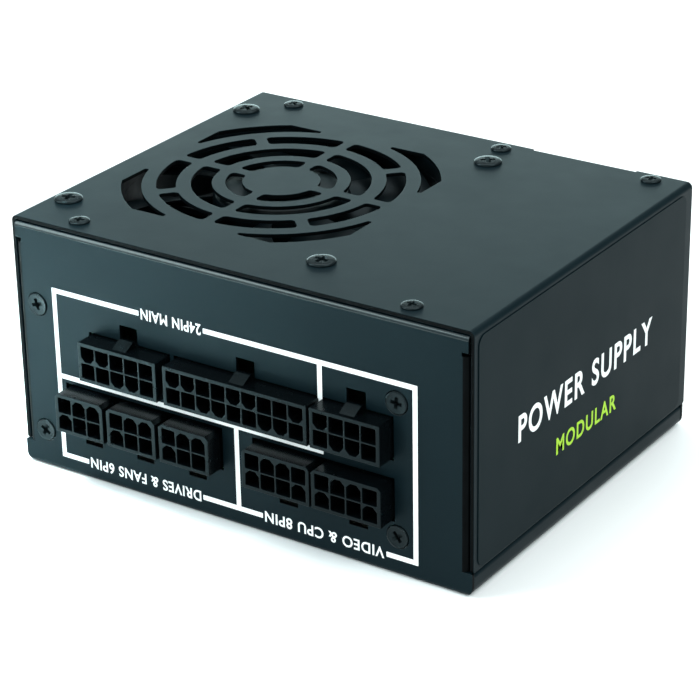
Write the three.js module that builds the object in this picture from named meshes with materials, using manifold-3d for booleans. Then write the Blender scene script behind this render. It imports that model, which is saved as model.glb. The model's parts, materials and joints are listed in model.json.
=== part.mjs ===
// A small form factor computer power supply with detachable cables, in millimetres, +Z up.
// The origin is the centre of the case's underside. The cable sockets are on the -Y face,
// the mains inlet and the switch are on the +Y face, and the fan blows down from the top.
import * as THREE from 'three';
import { mergeVertices } from 'three/addons/utils/BufferGeometryUtils.js';
import Module from 'manifold-3d';

const wasm = await Module();
wasm.setup();

// ---------------------------------------------------------------- driving dimensions
const CASE = { width: 125, depth: 100, height: 63.5 };
const SHEET = 0.9; // powder-coated steel sheet
const GAP = 0.3; // clearance between neighbouring pieces
const SEAT = 0.1; // clearance under screw heads and labels
const HOLE_SIDES = 10;
const SIDE_X = CASE.width / 2; // outside of the cover's side walls
const CHANNEL_X = SIDE_X - SHEET - GAP; // outside of what the side walls cover
const FRONT_Y = -CASE.depth / 2 + 0.2; // outside of the socket face
const REAR_Y = CASE.depth / 2 - 0.5; // outside of the mains face
const LIP_Z = CASE.height - SHEET - GAP; // top of the base's folded lips
const LIP_DEPTH = 10.3;
const BEND = 1.4; // outside radius of the sheet's folds
const SKIRT_Z = 5; // height of the base's strip that shows below the cover
const SEAM_Z = 5.9; // lower edge of the cover's side walls
const CORNER_RADIUS = 2.4; // rounded lower edges of the base
const RELIEF = { low: 57.5, high: 58.4, depth: 1.6 }; // small cut where a side fold ends

const BOARD = { x: 59, front: -38.4, rear: 46.5, z: 6, thickness: 1.6 };
const DECK_Z = BOARD.z + BOARD.thickness + GAP; // where the components stand
const STANDOFFS = [[-54, -33], [54, -33], [-54, 41.5], [54, 41.5]];

const FAN = { x: -21.25, y: 0.7, size: 80, height: 15, pitch: 71.5, bore: 38.2, hub: 16.5, blades: 9 };
const FAN_Z = LIP_Z - FAN.height; // underside of the fan frame
const FAN_CORNERS = [[-1, -1], [1, -1], [-1, 1], [1, 1]].map(([i, j]) =>
  [FAN.x + i * FAN.pitch / 2, FAN.y + j * FAN.pitch / 2]);
const GRILLE_RINGS = [
  { inner: 9.3, outer: 13.3, slots: 4 },
  { inner: 16.5, outer: 21.5, slots: 4 },
  { inner: 25, outer: 29.7, slots: 8 },
];
const GRILLE_BRIDGE = 2.9; // metal left between two slots of a ring
const GRILLE_CORNER = { inner: 33.2, outer: 38, flat: 32.6, end: 10.4 };

const COVER_SCREWS = [[-46.2, -44.5], [44.3, -44.8], [-48.8, 45.7], [12.6, 45.9], [53.4, 46.2]];
const SCREW = {
  cover: { head: 2.5, rise: 1, shank: 1.4, length: 5, cross: 2.6 },
  fan: { head: 3.4, rise: 1.4, shank: 1.7, length: 10, cross: 3.4 },
  board: { head: 2.6, rise: 1.8, shank: 1.1, length: 5.4, cross: 2.8 },
  socket: { head: 2.75, rise: 1.1, shank: 1.4, length: 9.4, cross: 3 },
};

// Cable sockets: each group shares one opening in the sheet. latch is +1 for a latch on top.
// keyed marks the cells with two cut corners, first the row at the top, then the row below.
const CELL = { pitch: 4.2, size: 3.6, depth: 9.5, chamfer: 1.1 };
const SOCKET = { height: 9.8, side: 0.7, front: -54.8, pin: 1, pinLength: 7, opening: 0.45 };
const LATCH = { width: 5, height: 4.4, ramp: 4 };
const SOCKET_GROUPS = [
  { z: 33.6, latch: 1, sockets: [
    { name: 'socket_10_pin', columns: 5, x: -29.3, keyed: ['11000', '00110'] },
  ] },
  { z: 33.6, latch: 1, sockets: [
    { name: 'socket_18_pin', columns: 9, x: 3.5, keyed: ['110011001', '001100110'] },
    { name: 'socket_8_pin_1', columns: 4, x: 33, keyed: ['1000', '0110'] },
  ] },
  { z: 18.6, latch: -1, sockets: [
    { name: 'socket_6_pin_1', columns: 3, x: -41.4, keyed: ['011', '100'] },
    { name: 'socket_6_pin_2', columns: 3, x: -26.2, keyed: ['011', '100'] },
    { name: 'socket_6_pin_3', columns: 3, x: -11.1, keyed: ['011', '100'] },
  ] },
  { z: 18.6, latch: -1, sockets: [
    { name: 'socket_8_pin_2', columns: 4, x: 14.3, keyed: ['0110', '1001'] },
    { name: 'socket_8_pin_3', columns: 4, x: 33.1, keyed: ['0110', '1001'] },
  ] },
];
const SOCKET_BOARD = { x: [-59.5, 47.5], y: -41.2, thickness: 1.6, z: [5.8, 47.2] };
const SOCKET_SCREWS = [[-56, 42.5], [43.4, 42.5], [-56, 9.8], [43.4, 9.8]]; // X, Z

const INLET = { x: 33.5, z: 51.3, flange: [28, 22.2], body: [26, 18.8], recess: [24.4, 16.2], back: 30 };
const INLET_FLANGE = 2.2;
const INLET_RECESS_DEPTH = 16;
const BLADE = { width: 2, height: 4, tip: 46.6, tail: 26, pitch: 14, earthRise: 2.2, lineDrop: 2 };
const SWITCH = { x: 33.5, z: 27, flange: [21, 15], body: [18.8, 12.6], well: [16.4, 10.2], back: 34 };
const SWITCH_FLANGE = 1.8;
const ROCKER = { pivotY: 47.4, half: 7.6, tilt: 10, height: 9.4, pin: 1 };
const RELIEF_FOR_INLET = { from: 19.4, to: 47.7, depth: 0.7 };
const FIXING = { x: 113 / 2, z: [6, 57.5], radius: 1.6 }; // four 6-32 holes of the mains face
const VENT = { columns: 9, rows: 6, flats: 6.4, pitch: 7.5, x: -49.5, z: 14.5 };
const LABEL = { y: [-47.7, 46.8], z: [6.4, 61.8], radius: 2.5, thickness: 0.25 };

// ---------------------------------------------------------------- solids
// Each plane names the two axes that a drawing lies in; it is pulled along the third.
const AXIS = {
  x: new THREE.Vector3(1, 0, 0),
  y: new THREE.Vector3(0, 1, 0),
  z: new THREE.Vector3(0, 0, 1),
};

function solid(geometry) {
  const bare = geometry.clone();
  bare.deleteAttribute('normal');
  bare.deleteAttribute('uv');
  const merged = mergeVertices(bare, 1e-4);
  return new wasm.Manifold(new wasm.Mesh({
    numProp: 3,
    vertProperties: merged.attributes.position.array,
    triVerts: Uint32Array.from(merged.index.array),
  }));
}

const join = (first, ...others) => others.reduce((sum, other) => sum.add(other), first);
const cut = (first, ...others) => others.reduce((rest, other) => rest.subtract(other), first);

function box(low, high) {
  const size = high.map((value, i) => value - low[i]);
  const middle = high.map((value, i) => (value + low[i]) / 2);
  return solid(new THREE.BoxGeometry(...size).translate(...middle));
}

// curveSegments is half the number of edges that each arc of the outline is given.
function prism(shape, plane, from, to, curveSegments = 3) {
  const geometry = new THREE.ExtrudeGeometry(shape, { depth: to - from, bevelEnabled: false, curveSegments });
  const turn = new THREE.Matrix4();
  if (plane === 'xy') turn.makeTranslation(0, 0, from);
  if (plane === 'xz') turn.makeBasis(AXIS.x, AXIS.z, AXIS.y.clone().negate()).setPosition(0, to, 0);
  if (plane === 'yz') turn.makeBasis(AXIS.y, AXIS.z, AXIS.x).setPosition(from, 0, 0);
  return solid(geometry.applyMatrix4(turn));
}

// A round rod along Y or Z. centre gives the other two coordinates, in X, Y, Z order.
function rod(axis, centre, radius, from, to, sides = 16) {
  const geometry = new THREE.CylinderGeometry(radius, radius, to - from, sides);
  const middle = (from + to) / 2;
  if (axis === 'y') geometry.translate(centre[0], middle, centre[1]);
  if (axis === 'z') geometry.rotateX(Math.PI / 2).translate(centre[0], centre[1], middle);
  return solid(geometry);
}

// A body of revolution about a vertical line, from (radius, height) points.
function turned(points, sides = 24) {
  const outline = points.map(([r, h]) => new THREE.Vector2(r, h));
  return solid(new THREE.LatheGeometry(outline, sides).rotateX(Math.PI / 2));
}

function tube(points, radius, steps) {
  const path = new THREE.CatmullRomCurve3(points.map((p) => new THREE.Vector3(...p)));
  const section = new THREE.Shape().absarc(0, 0, radius, 0, 2 * Math.PI);
  return new THREE.ExtrudeGeometry(section, { steps, extrudePath: path, curveSegments: 4 });
}

// ---------------------------------------------------------------- outlines
const outline = (points) => new THREE.Shape(points.map(([u, v]) => new THREE.Vector2(u, v)));

function rectangle(u0, v0, u1, v1, radius = 0) {
  if (radius === 0) return outline([[u0, v0], [u1, v0], [u1, v1], [u0, v1]]);
  const right = Math.PI / 2;
  return new THREE.Shape()
    .absarc(u1 - radius, v0 + radius, radius, -right, 0)
    .absarc(u1 - radius, v1 - radius, radius, 0, right)
    .absarc(u0 + radius, v1 - radius, radius, right, 2 * right)
    .absarc(u0 + radius, v0 + radius, radius, 2 * right, 3 * right);
}

const centred = (u, v, width, height, radius) =>
  rectangle(u - width / 2, v - height / 2, u + width / 2, v + height / 2, radius);

// A path's corners rounded, each by its own radius.
function filleted(points, radii, steps = 3) {
  const path = [];
  points.forEach((corner, i) => {
    const before = points[i - 1];
    const after = points[i + 1];
    if (!before || !after || radii[i] <= 0) {
      path.push(corner.clone());
      return;
    }
    const inward = before.clone().sub(corner).normalize();
    const outward = after.clone().sub(corner).normalize();
    const half = inward.angleTo(outward) / 2;
    const reach = radii[i] / Math.tan(half);
    const middle = corner.clone().add(inward.clone().add(outward).setLength(radii[i] / Math.sin(half)));
    const start = corner.clone().addScaledVector(inward, reach).sub(middle);
    const end = corner.clone().addScaledVector(outward, reach).sub(middle);
    const sweep = Math.atan2(start.cross(end), start.dot(end));
    for (let k = 0; k <= steps; k += 1) {
      path.push(start.clone().rotateAround(new THREE.Vector2(), sweep * k / steps).add(middle));
    }
  });
  return path;
}

// The same path moved to its left by a distance, corner by corner.
function shifted(points, distance) {
  const left = (a, b) => new THREE.Vector2(a.y - b.y, b.x - a.x).normalize();
  return points.map((corner, i) => {
    const before = i > 0 ? left(points[i - 1], corner) : null;
    const after = i < points.length - 1 ? left(corner, points[i + 1]) : null;
    const first = before ?? after;
    const second = after ?? before;
    const miter = first.clone().add(second).normalize();
    return corner.clone().addScaledVector(miter, distance / miter.dot(first));
  });
}

// The cross-section of a folded sheet. points run along its outside with the sheet on their
// left, and radii give each fold's outside radius. A negative radius folds the other way.
function foldedSheet(points, radii) {
  const outside = points.map(([u, v]) => new THREE.Vector2(u, v));
  const inside = shifted(outside, SHEET);
  const outer = radii.map((r) => (r < 0 ? -r - SHEET : r));
  const inner = radii.map((r) => (r < 0 ? -r : r - SHEET));
  return new THREE.Shape([...filleted(outside, outer), ...filleted(inside, inner).reverse()]);
}

// A slot along a ring, between two bridges with parallel sides.
function ringSlot(x, y, { inner, outer, slots }, index) {
  const [from, to] = [index, index + 1].map((i) => i * 2 * Math.PI / slots);
  const beside = (radius) => Math.asin(GRILLE_BRIDGE / 2 / radius);
  return new THREE.Shape()
    .absarc(x, y, outer, from + beside(outer), to - beside(outer))
    .absarc(x, y, inner, to - beside(inner), from + beside(inner), true);
}

// The four outer openings of the grille: a ring cut off by flats, with blunt ends.
function cornerOpening(x, y, quadrant) {
  const { inner, outer, flat, end } = GRILLE_CORNER;
  const quarterTurn = Math.PI / 2;
  const turn = quadrant * quarterTurn;
  const far = Math.acos(flat / outer);
  const near = Math.asin(end / inner);
  const corner = (u, v) => new THREE.Vector2(u, v).rotateAround(new THREE.Vector2(), turn);
  const [first, last] = [corner(flat, end), corner(end, flat)];
  return new THREE.Shape()
    .moveTo(x + first.x, y + first.y)
    .absarc(x, y, outer, turn + far, turn + quarterTurn - far)
    .lineTo(x + last.x, y + last.y)
    .absarc(x, y, inner, turn + quarterTurn - near, turn + near, true);
}

// ---------------------------------------------------------------- pieces
const part = new THREE.Group();

function piece(name, body, look, position = [0, 0, 0], rotation = [0, 0, 0]) {
  let geometry = body;
  if (!body.isBufferGeometry) {
    const mesh = body.getMesh();
    geometry = new THREE.BufferGeometry();
    geometry.setAttribute('position', new THREE.BufferAttribute(mesh.vertProperties, 3));
    geometry.setIndex(new THREE.BufferAttribute(mesh.triVerts, 1));
    geometry.computeVertexNormals();
  }
  const [color, roughness, metalness] = look;
  const mesh = new THREE.Mesh(geometry, new THREE.MeshStandardMaterial({ color, roughness, metalness }));
  mesh.name = name;
  mesh.position.set(...position);
  mesh.rotation.set(...rotation);
  part.add(mesh);
}

const LOOK = {
  coat: [0x2c3438, 0.55, 0.2],
  screw: [0x202426, 0.35, 0.8],
  socket: [0x0c0d0e, 0.5, 0],
  plastic: [0x101112, 0.45, 0],
  brass: [0xb08d45, 0.35, 1],
  steel: [0x9a9da0, 0.35, 1],
  copper: [0xb56a3a, 0.4, 1],
  aluminium: [0xa9adb0, 0.4, 1],
  board: [0x1f5a36, 0.5, 0],
  film: [0xd9dcc8, 0.4, 0],
  label: [0x22292c, 0.6, 0],
  paper: [0xdfe2e2, 0.6, 0],
  wireLive: [0x5a3a24, 0.5, 0],
  wireNeutral: [0x2a4f8c, 0.5, 0],
  ferrite: [0x3a3c3e, 0.7, 0],
  capacitor: [0x23262b, 0.3, 0],
  yellow: [0xc9a63a, 0.5, 0],
};

function topCover() {
  const wall = foldedSheet(
    [[SIDE_X, SEAM_Z], [SIDE_X, CASE.height], [-SIDE_X, CASE.height], [-SIDE_X, SEAM_Z]],
    [0, BEND, BEND, 0],
  );
  let cover = prism(wall, 'xz', -CASE.depth / 2, CASE.depth / 2);
  const through = (shape) => prism(shape, 'xy', CASE.height - 3, CASE.height + 1, 2);
  for (const ring of GRILLE_RINGS) {
    for (let i = 0; i < ring.slots; i += 1) {
      cover = cut(cover, through(ringSlot(FAN.x, FAN.y, ring, i)));
    }
  }
  for (let quadrant = 0; quadrant < 4; quadrant += 1) {
    cover = cut(cover, through(cornerOpening(FAN.x, FAN.y, quadrant)));
  }
  for (const [x, y] of FAN_CORNERS) {
    const radius = SCREW.fan.shank + GAP;
    cover = cut(cover, rod('z', [x, y], radius, CASE.height - 3, CASE.height + 1, HOLE_SIDES));
  }
  for (const [x, y] of COVER_SCREWS) {
    const radius = SCREW.cover.shank + GAP;
    cover = cut(cover, rod('z', [x, y], radius, CASE.height - 3, CASE.height + 1, HOLE_SIDES));
  }
  const { from, to, depth } = RELIEF_FOR_INLET;
  const rear = CASE.depth / 2;
  return cut(cover, box([from, rear - depth, CASE.height - 3], [to, rear + 1, CASE.height + 1]));
}

// Rounds the vertical edge where the socket or mains face folds back beside the cover.
function foldRounding(side, y) {
  const inwards = -Math.sign(y);
  const x = side * CHANNEL_X;
  const [low, high] = [SEAM_Z - 0.3, RELIEF.low + 0.3];
  const square = centred(x, y, 2 * BEND, 2 * BEND);
  const round = rod('z', [x - side * BEND, y + inwards * BEND], BEND, low, high);
  return cut(prism(square, 'xy', low, high), round);
}

function baseShell() {
  const strip = foldedSheet(
    [
      [FRONT_Y + LIP_DEPTH, LIP_Z], [FRONT_Y, LIP_Z], [FRONT_Y, 0],
      [REAR_Y, 0], [REAR_Y, LIP_Z], [REAR_Y - LIP_DEPTH + 1.8, LIP_Z],
    ],
    [0, BEND, BEND, BEND, BEND, 0],
  );
  const skirt = foldedSheet(
    [
      [-CHANNEL_X, 14], [-CHANNEL_X, SKIRT_Z + 0.5], [-SIDE_X, SKIRT_Z], [-SIDE_X, 0],
      [SIDE_X, 0], [SIDE_X, SKIRT_Z], [CHANNEL_X, SKIRT_Z + 0.5], [CHANNEL_X, 14],
    ],
    [0, -1.1, 0.3, CORNER_RADIUS, CORNER_RADIUS, 0.3, -1.1, 0],
  );
  let base = join(
    prism(strip, 'yz', -CHANNEL_X, CHANNEL_X),
    prism(skirt, 'xz', FRONT_Y + SHEET / 2, REAR_Y - SHEET / 2),
  );
  // the lowest stretch of each face runs the full width of the case
  const foot = new THREE.Shape()
    .absarc(SIDE_X - CORNER_RADIUS, CORNER_RADIUS, CORNER_RADIUS, -Math.PI / 2, 0)
    .lineTo(SIDE_X, SKIRT_Z)
    .lineTo(-SIDE_X, SKIRT_Z)
    .absarc(CORNER_RADIUS - SIDE_X, CORNER_RADIUS, CORNER_RADIUS, Math.PI, 3 * Math.PI / 2);
  const foldBack = 7;
  for (const [y, inwards] of [[FRONT_Y, 1], [REAR_Y, -1]]) {
    const inside = y + inwards * SHEET;
    base = join(base, prism(foot, 'xz', Math.min(y, inside), Math.max(y, inside)));
    for (const side of [-1, 1]) {
      const wallX = [side * CHANNEL_X, side * (CHANNEL_X - SHEET)].sort((a, b) => a - b);
      const wallY = [y + inwards * 0.2, y + inwards * foldBack].sort((a, b) => a - b);
      base = join(base, box([wallX[0], wallY[0], SEAM_Z - 0.2], [wallX[1], wallY[1], RELIEF.low]));
      base = cut(base, foldRounding(side, y));
      const notchX = [side * (CHANNEL_X - RELIEF.depth), side * (SIDE_X + 1)].sort((a, b) => a - b);
      const notchY = [y - inwards, inside + inwards * 0.3].sort((a, b) => a - b);
      base = cut(
        base,
        box([notchX[0], notchY[0], RELIEF.low], [notchX[1], notchY[1], RELIEF.high]),
        box([notchX[0], notchY[0], SKIRT_Z - 0.1], [notchX[1], notchY[1], SEAM_Z]),
      );
    }
  }
  for (const [x, y] of STANDOFFS) {
    const post = rod('z', [x, y], 2.8, SHEET / 2, BOARD.z - GAP, HOLE_SIDES);
    base = cut(join(base, post), rod('z', [x, y], SCREW.board.shank + GAP, -1, BOARD.z, HOLE_SIDES));
  }
  for (const [x, y] of COVER_SCREWS) {
    base = cut(base, rod('z', [x, y], SCREW.cover.shank + GAP, LIP_Z - 2, LIP_Z + 1, HOLE_SIDES));
  }
  return cut(base, ...socketOpenings(), ...mainsOpenings());
}

function socketOpenings() {
  const through = (shape) => prism(shape, 'xz', FRONT_Y - 1, FRONT_Y + SHEET + 0.5, 3);
  const openings = SOCKET_SCREWS.map(([x, z]) =>
    rod('y', [x, z], SCREW.socket.shank + GAP, FRONT_Y - 1, FRONT_Y + SHEET + 0.5, HOLE_SIDES));
  for (const { z, latch, sockets } of SOCKET_GROUPS) {
    const left = sockets[0].x - socketWidth(sockets[0]) / 2 - SOCKET.opening;
    const last = sockets[sockets.length - 1];
    const right = last.x + socketWidth(last) / 2 + SOCKET.opening;
    const high = SOCKET.height / 2 + SOCKET.opening;
    let opening = through(rectangle(left, z - high, right, z + high));
    for (const { x } of sockets) {
      const window = [z + latch * (high - 1), z + latch * (high - SOCKET.opening + LATCH.height)];
      window.sort((a, b) => a - b);
      const slot = rectangle(x - LATCH.width / 2, window[0], x + LATCH.width / 2, window[1]);
      opening = join(opening, through(slot));
    }
    openings.push(opening);
  }
  return openings;
}

function mainsOpenings() {
  const through = (shape) => prism(shape, 'xz', REAR_Y - SHEET - 0.5, REAR_Y + 1);
  const openings = [
    through(centred(INLET.x, INLET.z, INLET.body[0] + 2 * GAP, INLET.body[1] + 2 * GAP)),
    through(centred(SWITCH.x, SWITCH.z, SWITCH.body[0] + 2 * GAP, SWITCH.body[1] + 2 * GAP)),
  ];
  for (const x of [-FIXING.x, FIXING.x]) {
    for (const z of FIXING.z) {
      openings.push(rod('y', [x, z], FIXING.radius, REAR_Y - SHEET - 0.5, REAR_Y + 1, HOLE_SIDES));
    }
  }
  const radius = VENT.flats / Math.sqrt(3);
  for (let row = 0; row < VENT.rows; row += 1) {
    const shortRow = row % 2;
    for (let column = 0; column < VENT.columns - shortRow; column += 1) {
      const x = VENT.x + (column + shortRow / 2) * VENT.pitch;
      const z = VENT.z + row * VENT.pitch * Math.sqrt(3) / 2;
      openings.push(rod('y', [x, z], radius, REAR_Y - SHEET - 0.5, REAR_Y + 1, 6));
    }
  }
  return openings;
}

function insulatorSheet() {
  const low = SHEET + GAP;
  let sheet = box([-58, -46, low], [58, 46, low + 0.4]);
  for (const [x, y] of STANDOFFS) sheet = cut(sheet, rod('z', [x, y], 3.4, low - 1, low + 1, HOLE_SIDES));
  return sheet;
}

// Head up, with the underside of the head at height 0.
function screw({ head, rise, shank, length, cross }) {
  const body = turned([
    [0, -length], [shank, -length], [shank, 0], [head, 0], [head, rise * 0.5], [head * 0.72, rise], [0, rise],
  ], 10);
  const arm = 0.45;
  const floor = rise - Math.min(1, rise * 0.75);
  return cut(
    body,
    box([-cross / 2, -arm, floor], [cross / 2, arm, rise + 1]),
    box([-arm, -cross / 2, floor], [arm, cross / 2, rise + 1]),
  );
}

function fanFrame() {
  const top = FAN_Z + FAN.height;
  const flange = 3.5;
  let frame = prism(centred(0, 0, FAN.size, FAN.size, 4), 'xy', FAN_Z, top, 2);
  frame = cut(frame, rod('z', [0, 0], FAN.bore, FAN_Z - 1, top + 1, 36));
  const pocket = cut(
    box([-FAN.size, -FAN.size, FAN_Z + flange], [FAN.size, FAN.size, top - flange]),
    rod('z', [0, 0], FAN.bore + 1.4, FAN_Z, top, 36),
  );
  frame = cut(frame, pocket);
  for (const i of [-1, 1]) {
    for (const j of [-1, 1]) {
      const centre = [i * FAN.pitch / 2, j * FAN.pitch / 2];
      frame = cut(frame, rod('z', centre, 2.15, FAN_Z - 1, top + 1, HOLE_SIDES));
    }
  }
  const seat = rod('z', [0, 0], FAN.hub + 0.5, FAN_Z, FAN_Z + 1.2, 24);
  const bearingTube = rod('z', [0, 0], 4.2, FAN_Z, FAN_Z + 9.7, 16);
  const arm = 1.6;
  const reach = FAN.bore + 0.6;
  const arms = join(
    box([-reach, -arm, FAN_Z], [reach, arm, FAN_Z + 2.6]),
    box([-arm, -reach, FAN_Z], [arm, reach, FAN_Z + 2.6]),
  );
  const clear = rod('z', [0, 0], FAN.hub, FAN_Z + 1.2, FAN_Z + 4, 24);
  frame = join(frame, cut(arms, clear), seat, bearingTube);
  return cut(frame, rod('z', [0, 0], 3.3, FAN_Z + 1, top, 16));
}

// One blade, bent from a flat block: it climbs as it goes round and leans back at the tip.
function blade(angle) {
  const geometry = new THREE.BoxGeometry(1, 1, 1, 3, 3, 1);
  const position = geometry.attributes.position;
  const span = 0.62;
  const root = FAN.hub - 1;
  const tip = FAN.bore - 1.3;
  for (let i = 0; i < position.count; i += 1) {
    const out = position.getX(i) + 0.5;
    const along = position.getY(i);
    const radius = root + out * (tip - root);
    const turn = angle + along * span + 0.16 * out * out;
    const climb = (8.2 - 1.6 * out) * along + 1.1 * (1 - 4 * along * along);
    const height = FAN_Z + 8.6 + climb + position.getZ(i) * 1.1;
    position.setXYZ(i, radius * Math.cos(turn), radius * Math.sin(turn), height);
  }
  return solid(geometry);
}

function fanRotor() {
  const top = FAN_Z + 13.9;
  const low = FAN_Z + 3.4;
  let rotor = turned([
    [0, top - 1.6], [13.2, top - 1.6], [13.2, low], [FAN.hub, low], [FAN.hub, top - 1], [FAN.hub - 1, top],
    [0, top],
  ], 24);
  for (let i = 0; i < FAN.blades; i += 1) {
    const clearOfHub = rod('z', [0, 0], 14.5, FAN_Z, FAN_Z + 20, 24);
    rotor = join(rotor, cut(blade(2 * Math.PI * i / FAN.blades), clearOfHub));
  }
  const boss = rod('z', [0, 0], 3, top - 3.4, top - 1, 16);
  return cut(join(rotor, boss), rod('z', [0, 0], 1.8, top - 4, top - 0.8, 16));
}

const ring = (inner, outer, low, high, sides) =>
  turned([[inner, low], [outer, low], [outer, high], [inner, high], [inner, low]], sides);

function fanStator() {
  const [low, high] = [FAN_Z + 3.4, FAN_Z + 9.2];
  let stator = ring(4.6, 6.4, low, high, 16);
  for (let i = 0; i < 4; i += 1) {
    const pole = join(
      box([6, -1.8, low + 0.6], [11, 1.8, high - 0.6]),
      box([6.8, -3, low], [9.6, 3, high]),
      box([10.4, -5, low + 0.6], [11.6, 5, high - 0.6]),
    );
    stator = join(stator, pole.rotate([0, 0, 90 * i]));
  }
  return stator;
}

const socketWidth = ({ columns }) => columns * CELL.pitch + 2 * SOCKET.side;

// A socket in front of the board's face, centred on X 0 and Z 0, with the latch at +Z * latch.
function socket({ columns, keyed }, latch) {
  const width = socketWidth({ columns });
  const half = SOCKET.height / 2;
  const back = SOCKET_BOARD.y - GAP;
  const shoulder = latch < 0 ? 0.9 : 0.01;
  const section = outline([
    [-width / 2, -half], [width / 2, -half], [width / 2, half - shoulder],
    [width / 2 - shoulder, half], [shoulder - width / 2, half], [-width / 2, half - shoulder],
  ]);
  let body = prism(section, 'xz', SOCKET.front, back);
  const [foot, crest] = [latch * (half - 0.2), latch * (half + 1.5)];
  const ramp = outline([
    [SOCKET.front + 0.5, foot], [SOCKET.front + 3.9, crest], [SOCKET.front + 4.7, crest],
    [SOCKET.front + 4.7, foot],
  ]);
  body = join(body, prism(ramp, 'yz', -LATCH.ramp / 2, LATCH.ramp / 2));
  const cells = [];
  const pins = [];
  keyed.forEach((row, r) => {
    [...row].forEach((flag, c) => {
      const x = (c - (columns - 1) / 2) * CELL.pitch;
      const z = (0.5 - r) * CELL.pitch;
      const h = CELL.size / 2;
      const nip = flag === '1' ? CELL.chamfer : 0.3;
      const hole = outline([
        [x - h, z - latch * (h - nip)], [x - h + nip, z - latch * h], [x + h - nip, z - latch * h],
        [x + h, z - latch * (h - nip)], [x + h, z + latch * h], [x - h, z + latch * h],
      ]);
      cells.push(prism(hole, 'xz', SOCKET.front - 1, SOCKET.front + CELL.depth));
      const p = SOCKET.pin / 2;
      const floor = SOCKET.front + CELL.depth;
      pins.push(box([x - p, floor - SOCKET.pinLength, z - p], [x + p, floor + 0.5, z + p]));
    });
  });
  return join(cut(body, ...cells), ...pins);
}

function socketBoard() {
  const { x, y, thickness, z } = SOCKET_BOARD;
  let board = box([x[0], y, z[0]], [x[1], y + thickness, z[1]]);
  const hole = SCREW.socket.shank + GAP;
  for (const [sx, sz] of SOCKET_SCREWS) {
    const spacer = rod('y', [sx, sz], 3, FRONT_Y + SHEET + GAP, y + 0.2, 6);
    board = cut(join(board, spacer), rod('y', [sx, sz], hole, FRONT_Y, y + thickness + 1, HOLE_SIDES));
  }
  return board;
}

function acInlet() {
  const { x, z, flange, body, recess, back } = INLET;
  const face = REAR_Y + SEAT;
  let inlet = join(
    prism(centred(x, z, body[0], body[1], 1), 'xz', back, face + 0.5, 1),
    prism(centred(x, z, flange[0], flange[1], 1.5), 'xz', face, face + INLET_FLANGE, 1),
  );
  const [w, h] = [recess[0] / 2, recess[1] / 2];
  const cornerCut = 4.6;
  const well = outline([
    [x - w, z - h], [x + w, z - h], [x + w, z + h - cornerCut], [x + w - cornerCut, z + h],
    [x - w + cornerCut, z + h], [x - w, z + h - cornerCut],
  ]);
  const mouth = face + INLET_FLANGE;
  inlet = cut(inlet, prism(well, 'xz', mouth - INLET_RECESS_DEPTH, mouth + 1));
  for (const [bx, bz] of bladePlaces()) {
    const slot = centred(bx, bz, BLADE.width + 2 * GAP, BLADE.height + 2 * GAP);
    inlet = cut(inlet, prism(slot, 'xz', back - 1, mouth - 1));
  }
  return inlet;
}

const bladePlaces = () => [
  [INLET.x - BLADE.pitch / 2, INLET.z - BLADE.lineDrop],
  [INLET.x + BLADE.pitch / 2, INLET.z - BLADE.lineDrop],
  [INLET.x, INLET.z + BLADE.earthRise],
];

function switchHousing() {
  const { x, z, flange, body, well, back } = SWITCH;
  const face = REAR_Y + SEAT;
  let housing = join(
    prism(centred(x, z, body[0], body[1]), 'xz', back, face + 0.5),
    prism(centred(x, z, flange[0], flange[1], 1.5), 'xz', face, face + SWITCH_FLANGE, 1),
  );
  housing = cut(housing, prism(centred(x, z, well[0], well[1]), 'xz', ROCKER.pivotY - 5, face + 5));
  const reach = body[1] / 2 + 1;
  housing = cut(housing, rod('z', [x, ROCKER.pivotY], ROCKER.pin + 0.08, z - reach, z + reach, 24));
  for (const side of [-1, 1]) {
    const tab = x + side * 5;
    housing = join(housing, box([tab - 0.4, back - 6, z - 2.4], [tab + 0.4, back + 1, z + 2.4]));
  }
  return housing;
}

// The rocker about its own pivot line, level: two shallow faces that meet in the middle.
function switchRocker() {
  const { half, height, pin } = ROCKER;
  const section = new THREE.Shape()
    .moveTo(-half, -1.4)
    .lineTo(-3, -2.4)
    .absarc(0, 0, 4, Math.PI + 0.64, 2 * Math.PI - 0.64)
    .lineTo(3, -2.4)
    .lineTo(half, -1.4)
    .lineTo(half, 3.4)
    .lineTo(0, 2)
    .lineTo(-half, 3.4);
  const paddle = prism(section, 'xy', -height / 2, height / 2);
  return join(paddle, rod('z', [0, 0], pin, -SWITCH.body[1] / 2 + GAP, SWITCH.body[1] / 2 - GAP, 24));
}

function mainBoard() {
  const { x, front, rear, z, thickness } = BOARD;
  let board = box([-x, front, z], [x, rear, z + thickness]);
  for (const [sx, sy] of STANDOFFS) board = cut(board, rod('z', [sx, sy], 1.6, z - 1, z + 3, HOLE_SIDES));
  return board;
}

// An aluminium plate with fins on one side, standing along Y.
function finnedHeatsink(length, height, fins, side) {
  let sink = box([-1, -length / 2, 0], [1, length / 2, height]);
  for (let i = 0; i < fins; i += 1) {
    const y = -length / 2 + 1 + i * (length - 2) / (fins - 1);
    const x = [0, side * 7].sort((a, b) => a - b);
    sink = join(sink, box([x[0], y - 0.7, 4], [x[1], y + 0.7, height]));
  }
  return sink;
}

// A wound ring standing on its rim, with its axis along X.
function standingCoil(inner, outer, width) {
  const chamfer = (outer - inner) * 0.2;
  const section = [
    [inner, -width / 2], [outer - chamfer, -width / 2], [outer, -width / 2 + chamfer],
    [outer, width / 2 - chamfer], [outer - chamfer, width / 2], [inner, width / 2], [inner, -width / 2],
  ];
  return turned(section, 16);
}

function transformer(width, depth, height) {
  const core = box([-width / 2, -depth / 4, 0], [width / 2, depth / 4, height]);
  const winding = box([-width / 2 + 4, -depth / 2, 2.5], [width / 2 - 4, depth / 2, height - 2.5]);
  return join(core, winding);
}

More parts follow.
